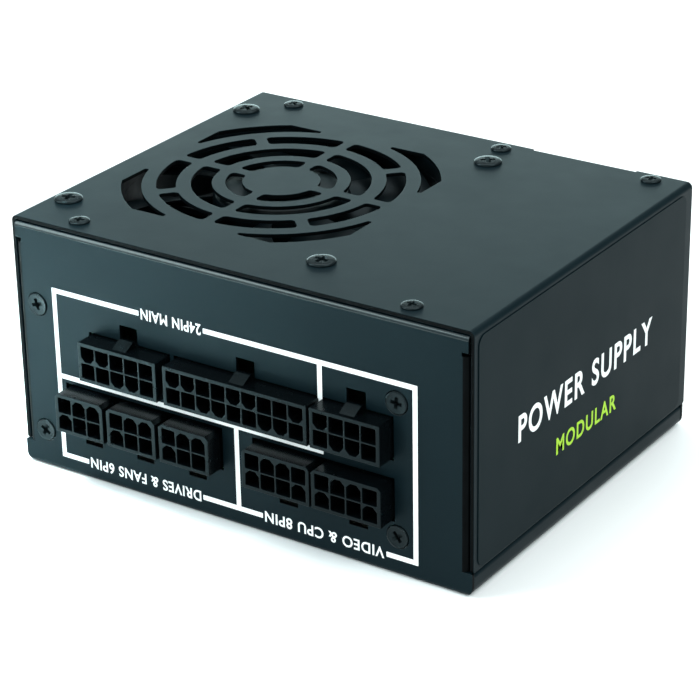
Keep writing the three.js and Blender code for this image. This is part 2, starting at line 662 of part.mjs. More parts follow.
// A capacitor can with its rolled groove near the foot.
const can = (radius, height) => turned([
  [0, 0], [radius, 0], [radius, 2], [radius - 0.6, 2.6], [radius, 3.2], [radius, height], [0, height],
], 16);

function outputBusbar() {
  const [front, foot] = [SOCKET_BOARD.y + SOCKET_BOARD.thickness + GAP, -28];
  const section = outline([
    [front, DECK_Z], [foot, DECK_Z], [foot, DECK_Z + 1.2], [front + 1.2, DECK_Z + 1.2],
    [front + 1.2, 26], [front, 26],
  ]);
  return prism(section, 'yz', -8, 8);
}

const labelPlate = () =>
  prism(rectangle(LABEL.y[0], LABEL.z[0], LABEL.y[1], LABEL.z[1], LABEL.radius), 'yz', 0, LABEL.thickness, 2);

// ---------------------------------------------------------------- assembly
const quarter = Math.PI / 2;

piece('base_shell', baseShell(), LOOK.coat);
piece('top_cover', topCover(), LOOK.coat);
piece('insulator_sheet', insulatorSheet(), LOOK.film);
COVER_SCREWS.forEach(([x, y], i) => {
  piece(`cover_screw_${i + 1}`, screw(SCREW.cover), LOOK.screw, [x, y, CASE.height + SEAT]);
});
piece('side_label', labelPlate(), LOOK.label, [SIDE_X + SEAT, 0, 0]);
piece('rating_label', labelPlate(), LOOK.paper, [-SIDE_X - SEAT - LABEL.thickness, 0, 0]);

const fanCentre = [FAN.x, FAN.y, 0];
piece('fan_frame', fanFrame(), LOOK.plastic, fanCentre);
piece('fan_rotor', fanRotor(), LOOK.plastic, fanCentre);
piece('fan_shaft', rod('z', [0, 0], 1.5, FAN_Z + 1.9, FAN_Z + 12.6, 24), LOOK.steel, fanCentre);
piece('fan_bearing', ring(1.58, 3, FAN_Z + 1.6, FAN_Z + 9.4, 24), LOOK.brass, fanCentre);
piece('fan_stator', fanStator(), LOOK.copper, fanCentre);
piece('fan_circuit_board', ring(4.6, 13, FAN_Z + 1.5, FAN_Z + 2.5, 16), LOOK.board, fanCentre);
FAN_CORNERS.forEach(([x, y], i) => {
  piece(`fan_screw_${i + 1}`, screw(SCREW.fan), LOOK.screw, [x, y, CASE.height + SEAT]);
});
piece('fan_cable', tube([
  [-3, 0.7, 45.6], [6, 0.7, 45.6], [15, 0.2, 45.5], [21.4, -1.5, 41], [22.4, -6, 28], [22, -8, 16],
  [22, -8, DECK_Z + 0.3],
], 1, 24), LOOK.plastic);

piece('socket_board', socketBoard(), LOOK.board);
for (const { z, latch, sockets } of SOCKET_GROUPS) {
  for (const one of sockets) piece(one.name, socket(one, latch), LOOK.socket, [one.x, 0, z]);
}
SOCKET_SCREWS.forEach(([x, z], i) => {
  piece(`socket_screw_${i + 1}`, screw(SCREW.socket), LOOK.screw, [x, FRONT_Y - SEAT, z], [quarter, 0, 0]);
});

piece('ac_inlet', acInlet(), LOOK.plastic);
['inlet_line_blade', 'inlet_neutral_blade', 'inlet_earth_blade'].forEach((name, i) => {
  const [x, z] = bladePlaces()[i];
  const [w, h] = [BLADE.width / 2, BLADE.height / 2];
  piece(name, box([x - w, BLADE.tail, z - h], [x + w, BLADE.tip, z + h]), LOOK.steel);
});
piece('switch_housing', switchHousing(), LOOK.plastic);
piece('switch_rocker', switchRocker(), LOOK.plastic, [SWITCH.x, ROCKER.pivotY, SWITCH.z],
  [0, 0, -ROCKER.tilt * Math.PI / 180]);
piece('line_wire', tube([
  [26.5, 25.6, 49.3], [26.6, 23.4, 48.6], [27.6, 22, 44], [28.4, 22, 34], [28.5, 24, 28.4],
  [28.5, 27.6, 27],
], 1, 20), LOOK.wireLive);
piece('neutral_wire', tube([
  [40.5, 25.6, 49.3], [40.6, 23.2, 48.4], [42, 22, 42], [44.4, 23.5, 28], [45, 26, 16],
  [45, 26, DECK_Z + 0.3],
], 1, 20), LOOK.wireNeutral);

piece('main_board', mainBoard(), LOOK.board);
STANDOFFS.forEach(([x, y], i) => {
  piece(`board_screw_${i + 1}`, screw(SCREW.board), LOOK.steel, [x, y, DECK_Z - GAP + SEAT]);
});
piece('emi_choke', standingCoil(4, 8.5, 9), LOOK.copper, [52.5, 30, DECK_Z + 8.6], [0, quarter, 0]);
piece('x_capacitor', box([-9, -4, 0], [9, 4, 15]), LOOK.yellow, [33, 18, DECK_Z]);
piece('bridge_rectifier', box([-1.7, -9, 6], [1.7, 9, 26]), LOOK.capacitor, [18, 11, DECK_Z]);
piece('pfc_choke', standingCoil(6, 12.5, 12), LOOK.copper, [36, -27, DECK_Z + 12.6], [quarter, 0, 0]);
piece('bulk_capacitor', can(13, 35), LOOK.capacitor, [40, -4, DECK_Z]);
piece('primary_heatsink', finnedHeatsink(46, 33, 7, -1), LOOK.aluminium, [15, 11, DECK_Z]);
piece('main_transformer', transformer(28, 28, 30), LOOK.ferrite, [-9, 10, DECK_Z]);
piece('standby_transformer', transformer(18, 16, 17), LOOK.yellow, [-12, -17, DECK_Z]);
piece('secondary_heatsink', finnedHeatsink(50, 30, 8, -1), LOOK.aluminium, [-28, 8, DECK_Z]);
piece('output_capacitor_1', can(5, 24), LOOK.capacitor, [-48, -18, DECK_Z]);
piece('output_capacitor_2', can(5, 24), LOOK.capacitor, [-48, -4, DECK_Z]);
piece('control_board', box([-0.8, -12, 0], [0.8, 12, 26]), LOOK.board, [-46, 24, DECK_Z]);
piece('output_busbar', outputBusbar(), LOOK.copper, [-30, 0, 0]);

export default part;
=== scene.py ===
import json
import math

import bmesh
import bpy
from mathutils import Matrix, Vector


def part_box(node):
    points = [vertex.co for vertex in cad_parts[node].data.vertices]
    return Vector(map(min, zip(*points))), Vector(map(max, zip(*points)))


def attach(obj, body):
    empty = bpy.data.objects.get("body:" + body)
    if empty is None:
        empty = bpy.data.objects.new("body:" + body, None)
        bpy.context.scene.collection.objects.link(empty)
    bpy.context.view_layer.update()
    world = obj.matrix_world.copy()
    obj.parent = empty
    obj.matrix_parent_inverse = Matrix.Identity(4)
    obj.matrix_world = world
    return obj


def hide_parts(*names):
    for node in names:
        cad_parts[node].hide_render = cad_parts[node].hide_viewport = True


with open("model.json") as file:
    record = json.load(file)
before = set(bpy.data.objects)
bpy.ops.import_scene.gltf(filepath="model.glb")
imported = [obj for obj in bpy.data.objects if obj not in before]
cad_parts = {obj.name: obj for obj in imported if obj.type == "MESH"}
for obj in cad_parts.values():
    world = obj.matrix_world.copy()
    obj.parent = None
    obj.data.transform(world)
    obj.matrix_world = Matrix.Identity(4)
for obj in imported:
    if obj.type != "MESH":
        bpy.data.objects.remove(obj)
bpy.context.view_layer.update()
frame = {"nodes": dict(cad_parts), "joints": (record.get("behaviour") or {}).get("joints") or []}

# ---- sizes, in millimetres
MM = 0.001


def box_mm(*nodes):
    """The lowest and highest corner of some CAD nodes together, in millimetres."""
    boxes = [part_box(node) for node in nodes]
    low = Vector([min(b[0][i] for b in boxes) / MM for i in range(3)])
    high = Vector([max(b[1][i] for b in boxes) / MM for i in range(3)])
    return low, high


def centre_mm(*nodes):
    low, high = box_mm(*nodes)
    return (low + high) / 2


COVER_LOW, COVER_HIGH = box_mm("top_cover")
BASE_LOW, BASE_HIGH = box_mm("base_shell")
SIDE_X = COVER_HIGH.x
TOP_Z = COVER_HIGH.z
SEAM_Z = COVER_LOW.z
FRONT_Y = BASE_LOW.y
REAR_Y = BASE_HIGH.y
LIP_Z = BASE_HIGH.z
CASE_CENTRE = Vector((0, 0, TOP_Z / 2))
FAN_CENTRE = centre_mm("fan_frame")

SHEET = 0.9
GAP = 0.3  # between the cover's walls and the sheet behind them
FOLD_RADIUS = 1.4
LIP_RADIUS = 1.1
COVER_SETBACK = 0.75  # of the cover's front end from the CAD's
CHANNEL_X = SIDE_X - SHEET - GAP
FOOT_RADIUS = 2.4
EAR = 5.6  # length of the faces' ears, which fold back behind the cover's walls
RELIEF = {"low": 57.5, "high": 58.4, "depth": 1.6}
EDGE = 0.1  # rounding of cut sheet edges

GRILLE_RINGS = [(9.3, 13.3, 4), (16.5, 21.5, 4), (25, 29.7, 8)]  # inner, outer, slots
GRILLE_BRIDGE = 2.9
GRILLE_ROUND = 1.1  # corner radius of the slots
GRILLE_CORNER = {"inner": 33.2, "outer": 38.0, "flat": 32.6, "end": 10.4}
SCREW_HOLE = 1.7
SUNK_HEAD = 2.75  # radius of the socket face's screw heads

CELL = {"pitch": 4.2, "size": 3.78, "depth": 9.5, "nip": 1.1}
LATCH = {"width": 5.0, "height": 4.4, "ramp": 4.0}
SOCKET_OPENING = 0.45
# Each group shares one opening. latch: +1 above, -1 below. Cells marked 1 have two cut corners.
SOCKET_GROUPS = [
    (1, [("socket_10_pin", ("11000", "00110"))]),
    (1, [("socket_18_pin", ("110011001", "001100110")), ("socket_8_pin_1", ("1000", "0110"))]),
    (-1, [(f"socket_6_pin_{i}", ("011", "100")) for i in (1, 2, 3)]),
    (-1, [(f"socket_8_pin_{i}", ("0110", "1001")) for i in (2, 3)]),
]
SOCKET_HEIGHT = 9.8
SOCKET_FRONT = box_mm("socket_18_pin")[0].y
SOCKET_BACK = box_mm("socket_18_pin")[1].y

COVER_SCREWS = [f"cover_screw_{i}" for i in range(1, 6)]
FAN_SCREWS = [f"fan_screw_{i}" for i in range(1, 5)]
SOCKET_SCREWS = [f"socket_screw_{i}" for i in range(1, 5)]

# ---- camera and light
VIEW = {"azimuth": 33.98, "elevation": 25.01, "roll": -1.0, "distance": 630.6, "lens": 136.1}
AIM = {"right": -1.5, "up": -6.5}  # from the case's centre, across the view


def view_axes(azimuth, elevation, roll=0.0):
    """Right, up and forward of a camera that looks along +Y at azimuth 0."""
    azimuth, elevation, roll = (math.radians(a) for a in (azimuth, elevation, roll))
    level = math.cos(elevation)
    forward = Vector((-math.sin(azimuth) * level, math.cos(azimuth) * level, -math.sin(elevation)))
    right = forward.cross(Vector((0, 0, 1))).normalized()
    up = right.cross(forward)
    turned = right * math.cos(roll) + up * math.sin(roll)
    return turned, turned.cross(forward), forward


def added(name, data):
    """A new object in the scene."""
    obj = bpy.data.objects.new(name, data)
    bpy.context.scene.collection.objects.link(obj)
    return obj


def placed_at(location, right, up, forward):
    matrix = Matrix((right, up, -forward)).transposed().to_4x4()
    matrix.translation = location
    return matrix


def add_camera():
    right, up, forward = view_axes(VIEW["azimuth"], VIEW["elevation"], VIEW["roll"])
    aim = CASE_CENTRE + right * AIM["right"] + up * AIM["up"]
    data = bpy.data.cameras.new("camera")
    data.lens = VIEW["lens"]
    data.sensor_width = 36
    data.clip_start = 0.01
    camera = added("camera", data)
    camera.matrix_world = placed_at((aim - forward * VIEW["distance"]) * MM, right, up, forward)
    bpy.context.scene.camera = camera


def add_area_light(name, matrix, size, power, color=(1, 1, 1), spread=180):
    data = bpy.data.lights.new(name, "AREA")
    data.shape = "RECTANGLE"
    data.size, data.size_y = (s * MM for s in size)
    data.energy = power
    data.color = color
    data.spread = math.radians(spread)
    light = added(name, data)
    light.matrix_world = matrix
    light.visible_camera = False


def around(azimuth, elevation, distance):
    """The place of a light that looks at the case's centre."""
    right, up, forward = view_axes(azimuth, elevation)
    return placed_at((CASE_CENTRE - forward * distance) * MM, right, up, forward)


def add_studio():
    """Soft boxes above, to the left and behind, and a bright pool on the table to the left, which
    the socket face mirrors."""
    scene = bpy.context.scene
    scene.view_settings.view_transform = "Standard"
    world = bpy.data.worlds.new("studio")
    world.use_nodes = True
    background = world.node_tree.nodes["Background"].inputs
    background["Color"].default_value = (0.78, 0.97, 1, 1)
    background["Strength"].default_value = 0.42
    scene.world = world
    add_area_light("overhead", around(-150, 76, 900), (900, 900), 7.5, (1, 0.99, 0.98))
    add_area_light("key_left", around(-50, 32, 800), (420, 620), 7, (0.86, 0.98, 1))
    add_area_light("back_left", around(-150, 8, 900), (900, 260), 3.5, (0.74, 1, 1))
    add_area_light("right_fill", around(80, 48, 900), (600, 500), 6, (0.92, 1, 1))
    add_area_light("front_fill", around(5, 12, 900), (700, 360), 1.7)
    down = Matrix.Translation(Vector((-150, -118, 320)) * MM)
    add_area_light("table_pool", down, (90, 90), 0.85, (0.66, 0.96, 1), spread=48)


# ---- flat drawings
def arc(x, y, radius, start, end, steps):
    """Points on an arc, angles in degrees, both ends included."""
    angles = [math.radians(start + (end - start) * i / steps) for i in range(steps + 1)]
    return [(x + radius * math.cos(a), y + radius * math.sin(a)) for a in angles]


def rounded_box(x0, y0, x1, y1, radius, steps=5):
    return (
        arc(x1 - radius, y0 + radius, radius, -90, 0, steps)
        + arc(x1 - radius, y1 - radius, radius, 0, 90, steps)
        + arc(x0 + radius, y1 - radius, radius, 90, 180, steps)
        + arc(x0 + radius, y0 + radius, radius, 180, 270, steps)
    )


def centred_box(x, y, width, height, radius, steps=5):
    return rounded_box(x - width / 2, y - height / 2, x + width / 2, y + height / 2, radius, steps)


def clipped_box(half_w, half_h, cut):
    """A rectangle round the origin with its two upper corners cut."""
    return [
        (-half_w, -half_h), (half_w, -half_h), (half_w, half_h - cut), (half_w - cut, half_h),
        (cut - half_w, half_h), (-half_w, half_h - cut),
    ]


def circle(x, y, radius, steps=32):
    return arc(x, y, radius, 0, 360, steps)[:-1]


def softened(points, radius, sharp=50, steps=4):
    """An outline with every corner that turns by more than sharp degrees rounded."""
    result = []
    for i, point in enumerate(points):
        corner = Vector(point)
        back = (Vector(points[i - 1]) - corner).normalized()
        ahead = (Vector(points[(i + 1) % len(points)]) - corner).normalized()
        between = back.angle(ahead)
        if math.degrees(math.pi - between) < sharp:
            result.append(point)
            continue
        centre = corner + (back + ahead).normalized() * radius / math.sin(between / 2)
        start = corner + back * radius / math.tan(between / 2) - centre
        end = corner + ahead * radius / math.tan(between / 2) - centre
        first = math.degrees(math.atan2(start.y, start.x))
        sweep = math.degrees(math.atan2(start.cross(end), start.dot(end)))
        result += arc(centre.x, centre.y, radius, first, first + sweep, steps)
    return result


def ring_slot(x, y, inner, outer, slots, index):
    """A slot along a ring, between two bridges with parallel sides."""
    start, stop = index * 360 / slots, (index + 1) * 360 / slots
    steps = max(6, round((stop - start) * outer / 90))

    def beside(radius):
        return math.degrees(math.asin((GRILLE_BRIDGE / 2 + GRILLE_ROUND) / radius))

    def corner(radius, angle, first, last):
        a = math.radians(angle)
        return arc(x + radius * math.cos(a), y + radius * math.sin(a), GRILLE_ROUND, first, last, 4)

    out, near = beside(outer - GRILLE_ROUND), beside(inner + GRILLE_ROUND)
    return (
        corner(outer - GRILLE_ROUND, start + out, start - 90, start + out)
        + arc(x, y, outer, start + out, stop - out, steps)[1:-1]
        + corner(outer - GRILLE_ROUND, stop - out, stop - out, stop + 90)
        + corner(inner + GRILLE_ROUND, stop - near, stop + 90, stop + 180 - near)
        + arc(x, y, inner, stop - near, start + near, steps)[1:-1]
        + corner(inner + GRILLE_ROUND, start + near, start + 180 + near, start + 270)
    )


def grille_holes():
    x, y = FAN_CENTRE.x, FAN_CENTRE.y
    holes = []
    for inner, outer, slots in GRILLE_RINGS:
        holes += [ring_slot(x, y, inner, outer, slots, i) for i in range(slots)]
    inner, outer, flat, end = (GRILLE_CORNER[k] for k in ("inner", "outer", "flat", "end"))
    far = math.degrees(math.acos(flat / outer))
    near = math.degrees(math.asin(end / inner))
    quadrant = (
        [(flat, end)] + arc(0, 0, outer, far, 90 - far, 12)
        + [(end, flat)] + arc(0, 0, inner, 90 - near, near, 14)
    )
    quadrant = softened(quadrant, 0.45)
    for _ in range(4):
        holes.append([(x + u, y + v) for u, v in quadrant])
        quadrant = [(-v, u) for u, v in quadrant]
    return holes


def area_of(loop):
    return sum(a[0] * b[1] - b[0] * a[1] for a, b in zip(loop, loop[1:] + loop[:1])) / 2


# ---- solids
def as_mesh(name, bm):
    """A mesh of a solid, which is used up."""
    mesh = bpy.data.meshes.new(name)
    bm.to_mesh(mesh)
    bm.free()
    return mesh


def as_solid(holder):
    """A solid of what an object shows with its modifiers."""
    mesh = bpy.data.meshes.new_from_object(holder)
    bm = bmesh.new()
    bm.from_mesh(mesh)
    bpy.data.meshes.remove(mesh)
    return bm


def transformed(bm, *matrices):
    """Applies one or more matrices, the last one first."""
    whole = Matrix.Identity(4)
    for matrix in matrices:
        whole = whole @ matrix
    bmesh.ops.transform(bm, matrix=whole, verts=bm.verts)
    return bm


def moved(bm, *offset):
    bmesh.ops.translate(bm, vec=offset, verts=bm.verts)
    return bm


def spun(bm, degrees):
    """Turns a solid about the Z axis."""
    turning = Matrix.Rotation(math.radians(degrees), 3, "Z")
    bmesh.ops.rotate(bm, cent=(0, 0, 0), matrix=turning, verts=bm.verts)
    return bm


def creased(bm, point, normal):
    """Cuts edges into a solid along a plane, so that it can bend there."""
    geometry = list(bm.verts) + list(bm.edges) + list(bm.faces)
    bmesh.ops.bisect_plane(bm, geom=geometry, dist=1e-4, plane_co=point, plane_no=normal)
    return bm


def drawn(curve):
    """The solid that a curve draws, in millimetres. The curve is used up."""
    holder = bpy.data.objects.new("drawing", curve)
    bm = as_solid(holder)
    bpy.data.objects.remove(holder)
    bpy.data.curves.remove(curve)
    bmesh.ops.scale(bm, vec=Vector((1, 1, 1)) / MM, verts=bm.verts)
    bmesh.ops.remove_doubles(bm, verts=bm.verts, dist=0.0005)
    return bm


def slab(loops, thickness, edge=EDGE, rounds=1):
    """A flat solid from height 0 to thickness. The first loop is its outline, the others are
    holes, and its edges are rounded."""
    curve = bpy.data.curves.new("slab", "CURVE")
    curve.dimensions = "2D"
    curve.fill_mode = "BOTH"
    curve.extrude = (thickness / 2 - edge) * MM
    curve.bevel_depth = edge * MM
    curve.bevel_resolution = rounds
    curve.offset = -edge * MM
    for i, loop in enumerate(loops):
        if (area_of(loop) > 0) != (i == 0):
            loop = loop[::-1]
        spline = curve.splines.new("POLY")
        spline.points.add(len(loop) - 1)
        for point, (x, y) in zip(spline.points, loop):
            point.co = (x * MM, y * MM, 0, 1)
        spline.use_cyclic_u = True
    bm = moved(drawn(curve), 0, 0, thickness / 2)
    bmesh.ops.recalc_face_normals(bm, faces=bm.faces)
    return bm


def mark_cut_faces(bm):
    """Gives a flat sheet's cut faces the second look of its piece, a near-black coat that paints them as
    shade.
    """
    for face in bm.faces:
        face.material_index = int(abs(face.normal.z) < 0.3)


# A slab's own axes for each way that it can face: its drawing's X, its drawing's Y, its height.
FACING = {
    "up": Matrix.Identity(4),
    "front": Matrix(((1, 0, 0, 0), (0, 0, -1, 0), (0, 1, 0, 0), (0, 0, 0, 1))),
    "rear": Matrix(((-1, 0, 0, 0), (0, 0, 1, 0), (0, 1, 0, 0), (0, 0, 0, 1))),
    "right": Matrix(((0, 0, 1, 0), (1, 0, 0, 0), (0, 1, 0, 0), (0, 0, 0, 1))),
    "left": Matrix(((0, 0, -1, 0), (-1, 0, 0, 0), (0, 1, 0, 0), (0, 0, 0, 1))),
}


def faced(bm, way, origin=(0, 0, 0)):
    """Turns a slab so that its height points that way, with its drawing's origin at a point."""
    return transformed(bm, Matrix.Translation(origin), FACING[way])


def turned(profile, sides=48):
    """A body of revolution about Z from (radius, height) points; the ends lie on the axis or meet."""
    bm = bmesh.new()
    rings = []
    for r, h in profile:
        if r < 1e-6:
            rings.append([bm.verts.new((0, 0, h))])
        else:
            angles = [2 * math.pi * i / sides for i in range(sides)]
            rings.append([bm.verts.new((r * math.cos(a), r * math.sin(a), h)) for a in angles])
    for lower, upper in zip(rings, rings[1:]):
        for i in range(sides):
            j = (i + 1) % sides
            corners = [lower[i % len(lower)], lower[j % len(lower)]]
            corners += [upper[j % len(upper)], upper[i % len(upper)]]
            corners = list(dict.fromkeys(corners))
            if len(corners) > 2:
                bm.faces.new(corners)
    bmesh.ops.remove_doubles(bm, verts=bm.verts, dist=1e-5)
    bmesh.ops.recalc_face_normals(bm, faces=bm.faces)
    return bm


def joined(*parts):
    """Several solids in one mesh."""
    whole = bmesh.new()
    for part in parts:
        mesh = as_mesh("part", part)
        whole.from_mesh(mesh)
        bpy.data.meshes.remove(mesh)
    return whole


def combined(first, second, operation):
    """first joined with second, or cut by it, as one solid."""
    holders = []
    for bm in (first, second):
        mesh = as_mesh("operand", bm)
        for _ in range(3):
            mesh.materials.append(None)  # so that the faces keep their look's number
        holders.append(added("operand", mesh))
    modifier = holders[0].modifiers.new("boolean", "BOOLEAN")
    modifier.operation = operation
    modifier.solver = "EXACT"
    modifier.object = holders[1]
    result = as_solid(holders[0].evaluated_get(bpy.context.evaluated_depsgraph_get()))
    for holder in holders:
        data = holder.data
        bpy.data.objects.remove(holder)
        bpy.data.meshes.remove(data)
    return result


class FoldLine:
    """The outside of a folded sheet, seen along its folds. It starts at a point with a heading,
    and each run is a length with a turn: no turn for a straight run, or degrees towards the
    sheet's inside, on the left, for a round fold."""

    CUTS = 6

    def __init__(self, start, heading, runs):
        self.runs = []
        distance, point, angle = 0.0, Vector(start), math.radians(heading)
        for length, turn in runs:
            bend = math.radians(turn) / length
            self.runs.append((distance, length, point.copy(), angle, bend))
            point = self._along(point, angle, bend, length)
            angle += bend * length
            distance += length
        self.length = distance

    @staticmethod
    def _along(point, angle, bend, distance):
        if bend == 0:
            return point + Vector((math.cos(angle), math.sin(angle))) * distance
        after = angle + bend * distance
        step = Vector((math.sin(after) - math.sin(angle), math.cos(angle) - math.cos(after)))
        return point + step / bend

    def at(self, distance, depth):
        """The point at a distance along the outside and a depth into the sheet."""
        passed = [run for run in self.runs if run[0] <= distance] or self.runs[:1]
        start, _, point, angle, bend = passed[-1]
        place = self._along(point, angle, bend, distance - start)
        heading = angle + bend * (distance - start)
        return place + Vector((-math.sin(heading), math.cos(heading))) * depth

    def creases(self):
        """Distances where the sheet needs an edge so that it can bend."""
        marks = []
        for start, length, _, _, bend in self.runs:
            if bend:
                marks += [start + length * i / self.CUTS for i in range(self.CUTS + 1)]
        return marks


def fold(radius, turn=90.0):
    """A round fold's length and turn. radius is on the outside of the line's sheet."""
    return abs(math.radians(turn)) * radius, turn


# ---- pieces
def shade_smooth(mesh, angle=32):
    mesh.polygons.foreach_set("use_smooth", [True] * len(mesh.polygons))
    mesh.set_sharp_from_angle(angle=math.radians(angle))


def placed(name, bm):
    """An object in the scene, of a solid drawn in millimetres."""
    bmesh.ops.scale(bm, vec=(MM, MM, MM), verts=bm.verts)
    return added(name, as_mesh(name, bm))


def piece(name, bm, look, body="case", replaces=(), weight=50, sharp=32):
    """A finished piece of the object, which rides on a body."""
    obj = placed(name, bm)
    shade_smooth(obj.data, sharp)
    for each in look if isinstance(look, list) else [look]:
        obj.data.materials.append(each)
    if weight:
        modifier = obj.modifiers.new("normals", "WEIGHTED_NORMAL")
        modifier.keep_sharp = True
        modifier.weight = weight
    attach(obj, body)
    if replaces:
        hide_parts(*replaces)
    return obj


# ---- materials
class Look:
    """A Principled material in the making, with a few helpers for its patterns."""

    def __init__(self, name, roughness, metallic=0.0, specular=0.5, coat=0.0):
        self.material = bpy.data.materials.new(name)
        self.material.use_nodes = True
        self.nodes = self.material.node_tree.nodes
        self.links = self.material.node_tree.links
        self.shader = self.nodes["Principled BSDF"]
        self.shader.inputs["Roughness"].default_value = roughness
        self.shader.inputs["Metallic"].default_value = metallic
        self.shader.inputs["Specular IOR Level"].default_value = specular
        self.shader.inputs["Coat Weight"].default_value = coat
        self.place = self.nodes.new("ShaderNodeTexCoord").outputs["Object"]

    def node(self, kind, place=None, **values):
        """A new node with its inputs set. place feeds its Vector, if it has one."""
        node = self.nodes.new("ShaderNode" + kind)
        for name, value in values.items():
            node.inputs[name.replace("_", " ")].default_value = value
        if place:
            self.links.new(place, node.inputs["Vector"])
        return node

    def noise(self, scale_mm, detail=2.0, stretch=None):
        """Noise whose lumps are about scale_mm across."""
        place = self.place
        if stretch:
            place = self.node("Mapping", place, Scale=stretch).outputs["Vector"]
        return self.node("TexNoise", place, Scale=1 / (scale_mm * MM), Detail=detail).outputs["Fac"]

    def ramp(self, value, low, high, from_low=0.3, from_high=0.7):
        """Maps a value's range onto low..high."""
        node = self.node("MapRange", From_Min=from_low, From_Max=from_high, To_Min=low, To_Max=high)
        self.links.new(value, node.inputs["Value"])
        return node.outputs["Result"]

    def blend(self, value, first, second):
        """A colour between two by a value."""
        node = self.node("Mix")
        node.data_type = "RGBA"
        self.links.new(value, node.inputs["Factor"])
        for name, colour in (("A", first), ("B", second)):
            target = [s for s in node.inputs if s.name == name and s.type == "RGBA"][0]
            target.default_value = (*colour, 1)
        return [s for s in node.outputs if s.type == "RGBA"][0]

    def colour(self, source):
        self.links.new(source, self.shader.inputs["Base Color"])

    def roughness(self, source):
        self.links.new(source, self.shader.inputs["Roughness"])

    def bump(self, source, height_mm):
        """Relief of a height, over any relief that the look already has."""
        node = self.node("Bump", Distance=height_mm * MM, Strength=1.0)
        self.links.new(source, node.inputs["Height"])
        previous = self.shader.inputs["Normal"].links
        if previous:
            self.links.new(previous[0].from_socket, node.inputs["Normal"])
        self.links.new(node.outputs["Normal"], self.shader.inputs["Normal"])
        return self.material


def grained(name, dark, light, roughness, grain_mm, grain_height, patch_mm, peel=None, tint=None, **shader):
    """A moulded or coated surface: faint patches of tone over a fine grain. peel is the size and
    height of a coarser relief, and tint colours the reflections."""
    look = Look(name, sum(roughness) / 2, **shader)
    look.colour(look.blend(look.ramp(look.noise(patch_mm), 0, 1), dark, light))
    look.roughness(look.ramp(look.noise(patch_mm / 3), *roughness))
    look.bump(look.noise(grain_mm, detail=3), grain_height)
    if peel:
        look.bump(look.noise(peel[0], detail=1), peel[1])
    if tint:
        look.shader.inputs["Specular Tint"].default_value = (*tint, 1)
    return look.material


def make_looks():
    coat = (0.002, 0.0062, 0.0085), (0.003, 0.0078, 0.0102)
    coat_grain = {"grain_mm": 0.35, "grain_height": 0.006, "patch_mm": 30, "peel": (1.6, 0.004)}
    # name, darker and lighter tone, roughness, grain's size and height, size of the patches
    return {
        "coat": grained("case_coat", *coat, (0.36, 0.42), **coat_grain, specular=0.076, tint=(0.6, 0.92, 1)),
        "fold": grained("case_coat_on_folds", *coat, (0.2, 0.26), **coat_grain, specular=0.42,
                        tint=(0.9, 1, 1)),
        # painted shade: a near-black copy of the coat for cut sheet faces and the faces' ears, standing in
        # for the shadow in the gaps and slots beside them
        "edge": grained("cut_edge_painted_shade", (0.0006, 0.001, 0.0012), (0.0012, 0.002, 0.0024), (0.4, 0.5),
                        0.3, 0.004, 4, specular=0.03),
        "hub": grained("hub_film", (0.012, 0.018, 0.02), (0.016, 0.024, 0.026), (0.36, 0.44),
                       0.4, 0.003, 8, specular=0.2),
        "screw": grained("black_screw", (0.003, 0.005, 0.006), (0.006, 0.009, 0.01), (0.18, 0.28),
                         0.5, 0.003, 2, specular=0.12, tint=(0.65, 0.93, 1)),
        "socket": grained("socket_nylon", (0.0008, 0.0014, 0.0018), (0.0012, 0.002, 0.0026), (0.22, 0.28),
                          0.25, 0.001, 12, specular=0.12, tint=(0.6, 0.92, 1)),
        "fan": grained("fan_plastic", (0.0008, 0.0018, 0.0024), (0.0014, 0.0028, 0.0036), (0.34, 0.44),
                       0.4, 0.003, 9, specular=0.1, tint=(0.55, 0.88, 1)),
        "inlet": grained("inlet_plastic", (0.004, 0.004, 0.0045), (0.006, 0.006, 0.0065), (0.35, 0.5),
                         0.35, 0.004, 8, specular=0.35),
        "print": grained("white_print", (0.86, 0.88, 0.88), (0.9, 0.92, 0.92), (0.5, 0.65), 0.3, 0.004, 3),
        "green_print": grained("green_print", (0.31, 0.56, 0.01), (0.36, 0.63, 0.013), (0.5, 0.65),
                               0.3, 0.004, 3),
        "label": grained("side_label_film", (0.0022, 0.0068, 0.0088), (0.0032, 0.0082, 0.0104),
                         (0.36, 0.42), 0.6, 0.002, 40, specular=0.04, tint=(0.45, 0.92, 1)),
        "tin": grained("tin_plate", (0.42, 0.41, 0.38), (0.55, 0.53, 0.49), (0.35, 0.5), 0.3, 0.003, 2,
                       metallic=1.0),
        "copper": wound_look(),
        "board": board_look(),
        "film": grained("insulating_film", (0.52, 0.52, 0.42), (0.6, 0.6, 0.5), (0.3, 0.4), 1, 0.004, 20),
        "brass": grained("sintered_brass", (0.5, 0.36, 0.15), (0.62, 0.46, 0.2), (0.35, 0.5),
                         0.15, 0.006, 2, metallic=1.0),
        "sheath": grained("cable_sheath", (0.012, 0.012, 0.012), (0.02, 0.02, 0.02), (0.5, 0.6),
                          0.4, 0.01, 6),
        "sleeve": grained("capacitor_sleeve", (0.012, 0.013, 0.02), (0.018, 0.02, 0.03), (0.2, 0.3),
                          2, 0.004, 10, coat=0.3),
        "aluminium": aluminium_look(),
        "ferrite": grained("ferrite", (0.03, 0.03, 0.032), (0.05, 0.05, 0.054), (0.55, 0.7), 0.3, 0.015, 5),
        "tape": grained("winding_tape", (0.62, 0.42, 0.06), (0.72, 0.52, 0.1), (0.3, 0.45), 1.2, 0.01, 6),
    }


def wound_look():
    """Enamelled copper wire, turn beside turn."""
    look = Look("copper_winding", 0.3, metallic=1.0, coat=0.3)
    wave = look.node("TexWave", look.place, Scale=0.4 / MM, Distortion=0.6).outputs["Fac"]
    look.colour(look.blend(wave, (0.28, 0.09, 0.03), (0.62, 0.26, 0.1)))
    look.roughness(look.ramp(look.noise(1.5), 0.25, 0.4))
    return look.bump(wave, 0.15)


